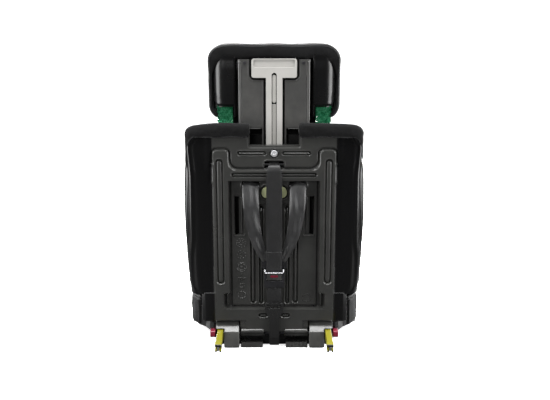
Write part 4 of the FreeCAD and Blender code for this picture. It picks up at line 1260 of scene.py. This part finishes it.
def wing_cover_cloth():
    """Padding inside each wing that rolls round the wing's front edge onto the outside of the shell."""
    heights = np.concatenate([[151, 151.6, 153], np.linspace(156, 546, 96), [549, 550.4, 551]])
    squeeze = np.concatenate([[0.55, 0.85, 0.97], np.ones(96), [0.97, 0.85, 0.55]])
    parts = []
    for side in (1, -1):
        rings = []
        for z, tight in zip(heights, squeeze):
            end = float(wing_end(np.array([z]))[0])
            inner = [(t, -22 + 1.5 * math.sin((t - 176) * 0.05)) for t in np.linspace(end - 6, 176, 26)]
            back = [(t, -5.6) for t in np.linspace(172, end - 4, 24)]
            loop = np.array(back + [(end + t, o) for t, o in WING_NOSE] + inner)
            t, o = loop[:, 0], loop[:, 1]
            middle = -13.0
            o = middle + (o - middle) * tight
            outside = (o > 1.9) | (t > end + 2)
            high = np.full_like(t, z)
            ruffle = 1.1 * waves(high, t * 0.6, 51 + side, 52) + 0.5 * waves(t, high, 53, 24)
            o = o + np.where(outside | (o < -15), ruffle, 0)
            rings.append(skin_point(t, high, o))
        verts, faces = loft(rings)
        verts[:, 0] *= side
        parts.append(new_object("wing", tilt(verts), faces, MAT["fabric"], sharp=75))
    place(joined("wing_cover_cloth", parts), "backrest", ["wing_covers"])
    trims = []
    for side in (1, -1):
        path = []
        for z in np.linspace(154, 548, 60):
            end = float(wing_end(np.array([z]))[0])
            p = skin_point(np.array([end + 9.0]), np.array([z]), -18.8 + 0.8 * math.sin(z * 0.05))[0]
            path.append((p[0] * side, p[1], p[2]))
        trims.append(tube("trim", path, 1.8, MAT["piping"]))
    place(joined("wing_cover_piping", trims), "backrest", [])


def roll_top(s):
    """Upper edge of the shoulder roll at arc length s along the wing."""
    bow = np.clip((s - 110) / 100, 0, 1)
    corner = np.clip((s - 196) / 46, 0, 1)
    far = np.clip((s - 236) / 80, 0, 1)
    return 588.5 - 6.5 * bow * bow - 9 * corner * corner - 8 * far * far


def roll_low(s, side):
    """Lower edge of the roll at arc length s: it drops along the flank."""
    return 554.0 + 0.9 * math.sin(s * 0.07 + side) - 46 * float(ease((s - 198) / 34))


def shoulder_roll_cloth():
    """Fabric rolled over each wing's top edge, from beside the headrest channel round to the wing's front."""
    parts, trims = [], []
    for side in (1, -1):
        end = float(wing_end(np.array([556.0]))[0]) + 7
        stations = np.concatenate([[60, 60.5, 62, 65, 69], np.linspace(73, end - 8, 88),
                                   [end - 4, end - 1.5, end - 0.4]])
        size = np.concatenate([[0.35, 0.62, 0.82, 0.94, 0.99], np.ones(88), [0.9, 0.68, 0.4]])
        rings = []
        for s, scale in zip(stations, size):
            top = float(roll_top(s))
            low = roll_low(s, side)
            inner = -18.0 - 4.0 * min(1.0, max(0.0, (s - 100) / 80))
            thin = 4.2 * min(1.0, max(0.0, (s - 196) / 34))
            outside = [(1.2, low + 1), (3.8, low - 0.6), (6.2, low + 1.2), (7.0, low + 5), (7.4, top - 19),
                       (6.6, top - 12), (4.4, top - 6), (0.6, top - 2.2), (-4, top - 0.4)]
            inside_edge = [(5, top - 2.2), (1, top - 6.5), (0, top - 14), (1.5, low + 12), (5, low + 10.4)]
            loop = [(o - thin, z) for o, z in outside] + [(-9, top)]
            loop += [(inner + o, z) for o, z in inside_edge]
            loop += [(-5, low + 10.6), (0.4, low + 10.2), (0.9, low + 6)]
            dense = evenly(loop, 2.4, ROLL_POINTS)
            middle = np.array([-5.0, (top + low) / 2 + 4])
            o, z = (middle + (dense - middle) * scale).T
            wrinkle = 0.9 * waves(np.full_like(z, s), z * 1.2, 61 + side, 44)
            wrinkle = wrinkle + 0.5 * waves(np.full_like(z, s) * 2, z, 63, 30)
            o = o + wrinkle * np.where(o > 3, 1.0, 0.3)
            z = z + np.where(z > middle[1], 0.8 * math.sin(s * 0.045 + side), 0)
            flat = np.full_like(z, 545.0)
            ring = skin_point(np.full_like(z, s), flat, o)
            ring[:, 2] = z
            rings.append(ring)
        verts, faces = loft(rings)
        verts[:, 0] *= side
        parts.append(new_object("roll", tilt(verts), faces, MAT["fabric"], sharp=75))
        path = []
        for s in np.linspace(66, end - 6, 70):
            thin = 4.2 * min(1.0, max(0.0, (s - 196) / 34))
            p = skin_point(np.array([s]), np.array([545.0]), 5.4 - thin)[0]
            path.append((p[0] * side, p[1], roll_low(s, side) + 1.6))
        trims.append(tube("trim", path, 1.7, MAT["piping"]))
    place(joined("shoulder_roll_cloth", parts), "backrest", ["shoulder_rolls"])
    place(joined("shoulder_roll_piping", trims), "backrest", [])


def front_webbing():
    parts = []
    for sign in (1, -1):
        path = sided([(59, 154, 433), (59, 140, 431.5), (59, 124, 428.5), (59, 116, 420), (58, 114.4, 400),
                      (54, 114.4, 350), (49, 112.5, 304), (44, 92, 282), (38, 62, 260), (30, 18, 240.5),
                      (22, -24, 222.5), (19, -44, 214.5)], sign)
        facing = [(0, 0, 1), (0, -0.15, 1), (0, -0.5, 0.8), (0, -1, 0.35), (0, -1, 0), (0, -1, 0.05),
                  (0, -0.9, 0.4), (0, -0.6, 0.8), (0, -0.45, 0.9)] + [(0, -0.4, 0.9)] * 3
        parts.append(strap("shoulder", path, [36] * 9 + [33, 28, 26], 1.9, facing=facing,
                           cup=0.6, ripple=0.5, seed=5))
    obj = joined("shoulder_webbing", parts)
    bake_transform(obj)
    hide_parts("shoulder_straps")

    parts = []
    for sign in (1, -1):
        path = sided([(34, -20, 223), (50, -8, 213), (76, 14, 199), (100, 33, 186), (124, 52, 175),
                      (144, 72, 168), (158, 88, 163), (166, 101, 156), (168.5, 108, 146), (168.5, 111, 128),
                      (168.5, 112, 82)], sign)
        facing = sided([(-0.45, -0.75, 0.35)] * 5 + [(-0.6, -0.6, 0.3), (-0.8, -0.45, 0.2),
                                                     (-0.95, -0.3, 0.1)] + [(-1, -0.05, 0)] * 3, sign)
        parts.append(strap("lap", path, 29, 1.9, "web", level, facing=facing, cup=0.6, ripple=0.6, seed=7))
    place(joined("lap_webbing", parts), "base", ["lap_straps"])
    path = [(0, -64, 84), (0, -64, 112), (0, -63.5, 134), (0, -60, 148), (0, -56, 159)]
    crotch = strap("crotch_web", path, 37, 1.9, "web", level, facing=(0, -1, 0.1), cup=0.3)
    place(crotch, "base", ["crotch_strap"])
    path = [(0, -226, 101), (0, -233, 100.6), (0, -238.6, 97), (0, -240.4, 88), (0, -240.6, 60),
            (0, -240.2, 28)]
    facing = [(0, 0, 1), (0, -0.3, 1), (0, -0.8, 0.6), (0, -1, 0.1), (0, -1, 0), (0, -1, 0)]
    tail = strap("adjuster_tail_web", path, 25, 1.9, "web", level, facing=facing, cup=0.2)
    place(tail, "base", ["adjuster_tail"])


def honeycomb():
    """Bundles of thin green tubes, open towards the rear."""
    parts = []
    radius = 3.1
    rows = np.arange(584.0, 720.0, radius * 1.74)
    for side in (1, -1):
        cells = []
        for j, z in enumerate(rows):
            for x in np.arange(106.2 + (radius if j % 2 else 0), 143.0, radius * 2):
                rear = 156.0 if x < 122 else 134 + math.sqrt(max(0.0, 730 - (x - 122) ** 2)) - 5
                wobble = 0.5 * math.sin(x * 1.7 + z * 0.9)
                rings = []
                for r, y in ((radius, 120.5), (radius, rear - 1 + wobble),
                             (radius * 0.8, rear - 0.4 + wobble), (radius * 0.72, rear - 1.2),
                             (radius * 0.7, 124)):
                    angles = [math.radians(60 * k + 30) for k in range(6)]
                    rings.append([(side * (x + r * math.cos(a)), y, z + r * math.sin(a)) for a in angles])
                cells.append(loft(rings))
        verts, faces = merged(cells)
        parts.append(new_object("cells", tilt(verts), faces, MAT["core"], sharp=30))
        x0, x1 = sorted((side * 104, side * 144))
        parts.append(profile_solid("slab", rounded(x0, x1, 581, 722, 3), "xz", 118, 124, MAT["core"], 0.8, 2))
    place(joined("honeycomb_cores", parts), "headrest", ["impact_cores"])


seat_cushion()
back_cushion()
lining()
head_soft()
head_rim()
small_pads()
side_cover_cloth()
wing_cover_cloth()
shoulder_roll_cloth()
front_webbing()
honeycomb()


# ---- stage, light and camera --------------------------------------------------------------------------
def stage():
    floor_mat, nodes, links, bsdf = shader("floor")
    bsdf.inputs["Roughness"].default_value = 0.7
    bsdf.inputs["Emission Color"].default_value = (1, 1, 1, 1)
    seen = nodes.new("ShaderNodeLightPath")
    glow = nodes.new("ShaderNodeMath")
    glow.operation = "MULTIPLY"
    glow.inputs[1].default_value = 0.75
    links.new(seen.outputs["Is Camera Ray"], glow.inputs[0])
    links.new(glow.outputs[0], bsdf.inputs["Emission Strength"])
    links.new(mix_colour(nodes, links, seen.outputs["Is Camera Ray"], (0.03, 0.03, 0.03), (0.8, 0.8, 0.8)),
              bsdf.inputs["Base Color"])
    rings = []
    for x in (-8.0, 8.0):
        section = [(x, 6.0, 0)]
        for k in range(13):
            a = math.radians(90 * k / 12)
            section.append((x, -2.0 - 1.5 * math.sin(a), 1.5 - 1.5 * math.cos(a)))
        section.append((x, -3.5, 8.0))
        rings.append(section)
    verts, faces = loft(rings, closed_ring=False, caps=False)
    floor = new_object("floor", verts, faces, floor_mat)


def aim(obj, location, target):
    obj.location = location
    obj.rotation_mode = "QUATERNION"
    obj.rotation_quaternion = (Vector(target) - Vector(location)).to_track_quat("-Z", "Y")
    return obj


def area_light(name, location, target, power, size, size_y=None):
    data = bpy.data.lights.new(name, "AREA")
    data.energy = power
    data.size = size
    if size_y:
        data.shape = "RECTANGLE"
        data.size_y = size_y
    aim(linked(name, data), location, target)


# name, place, watts, width and height
LAMPS = [
    ("over", (0.0, 0.75, 2.2), 116, 1.6, 1.0),
    ("key", (0.9, 3.0, 1.5), 24, 0.9),
    ("left_strip", (1.45, 0.7, 0.6), 54, 0.9, 1.4),
    ("right_strip", (-1.45, 0.7, 0.6), 54, 0.9, 1.4),
    ("front_fill", (0.9, -2.2, 1.6), 430, 1.6),
    ("front_side", (-1.6, -1.6, 0.9), 150, 0.8),
]


def light_and_camera():
    world = bpy.data.worlds.new("studio")
    SCENE.world = world
    world.use_nodes = True
    nodes, links = world.node_tree.nodes, world.node_tree.links
    background = nodes["Background"]
    background.inputs["Color"].default_value = (1, 1, 1, 1)
    seen = nodes.new("ShaderNodeLightPath")
    strength = ramp(nodes, links, seen.outputs["Is Camera Ray"], 0.4, 0.6, 0.02, 1.0)
    links.new(strength, background.inputs["Strength"])
    for name, location, power, *size in LAMPS:
        area_light(name, location, (0, 0.15, 0.42), power, *size)
    camera_data = bpy.data.cameras.new("camera")
    camera_data.sensor_width = 36.0
    camera_data.lens = 48.8
    camera_data.clip_start = 0.05
    camera_data.clip_end = 50
    elevation = math.radians(5.0)
    target = Vector((-0.002, 0.215, 0.388))
    back = Vector((0, math.cos(elevation), math.sin(elevation)))
    SCENE.camera = aim(linked("camera", camera_data), target + back * 1.9, target)
    SCENE.view_settings.view_transform = "Standard"


stage()
light_and_camera()
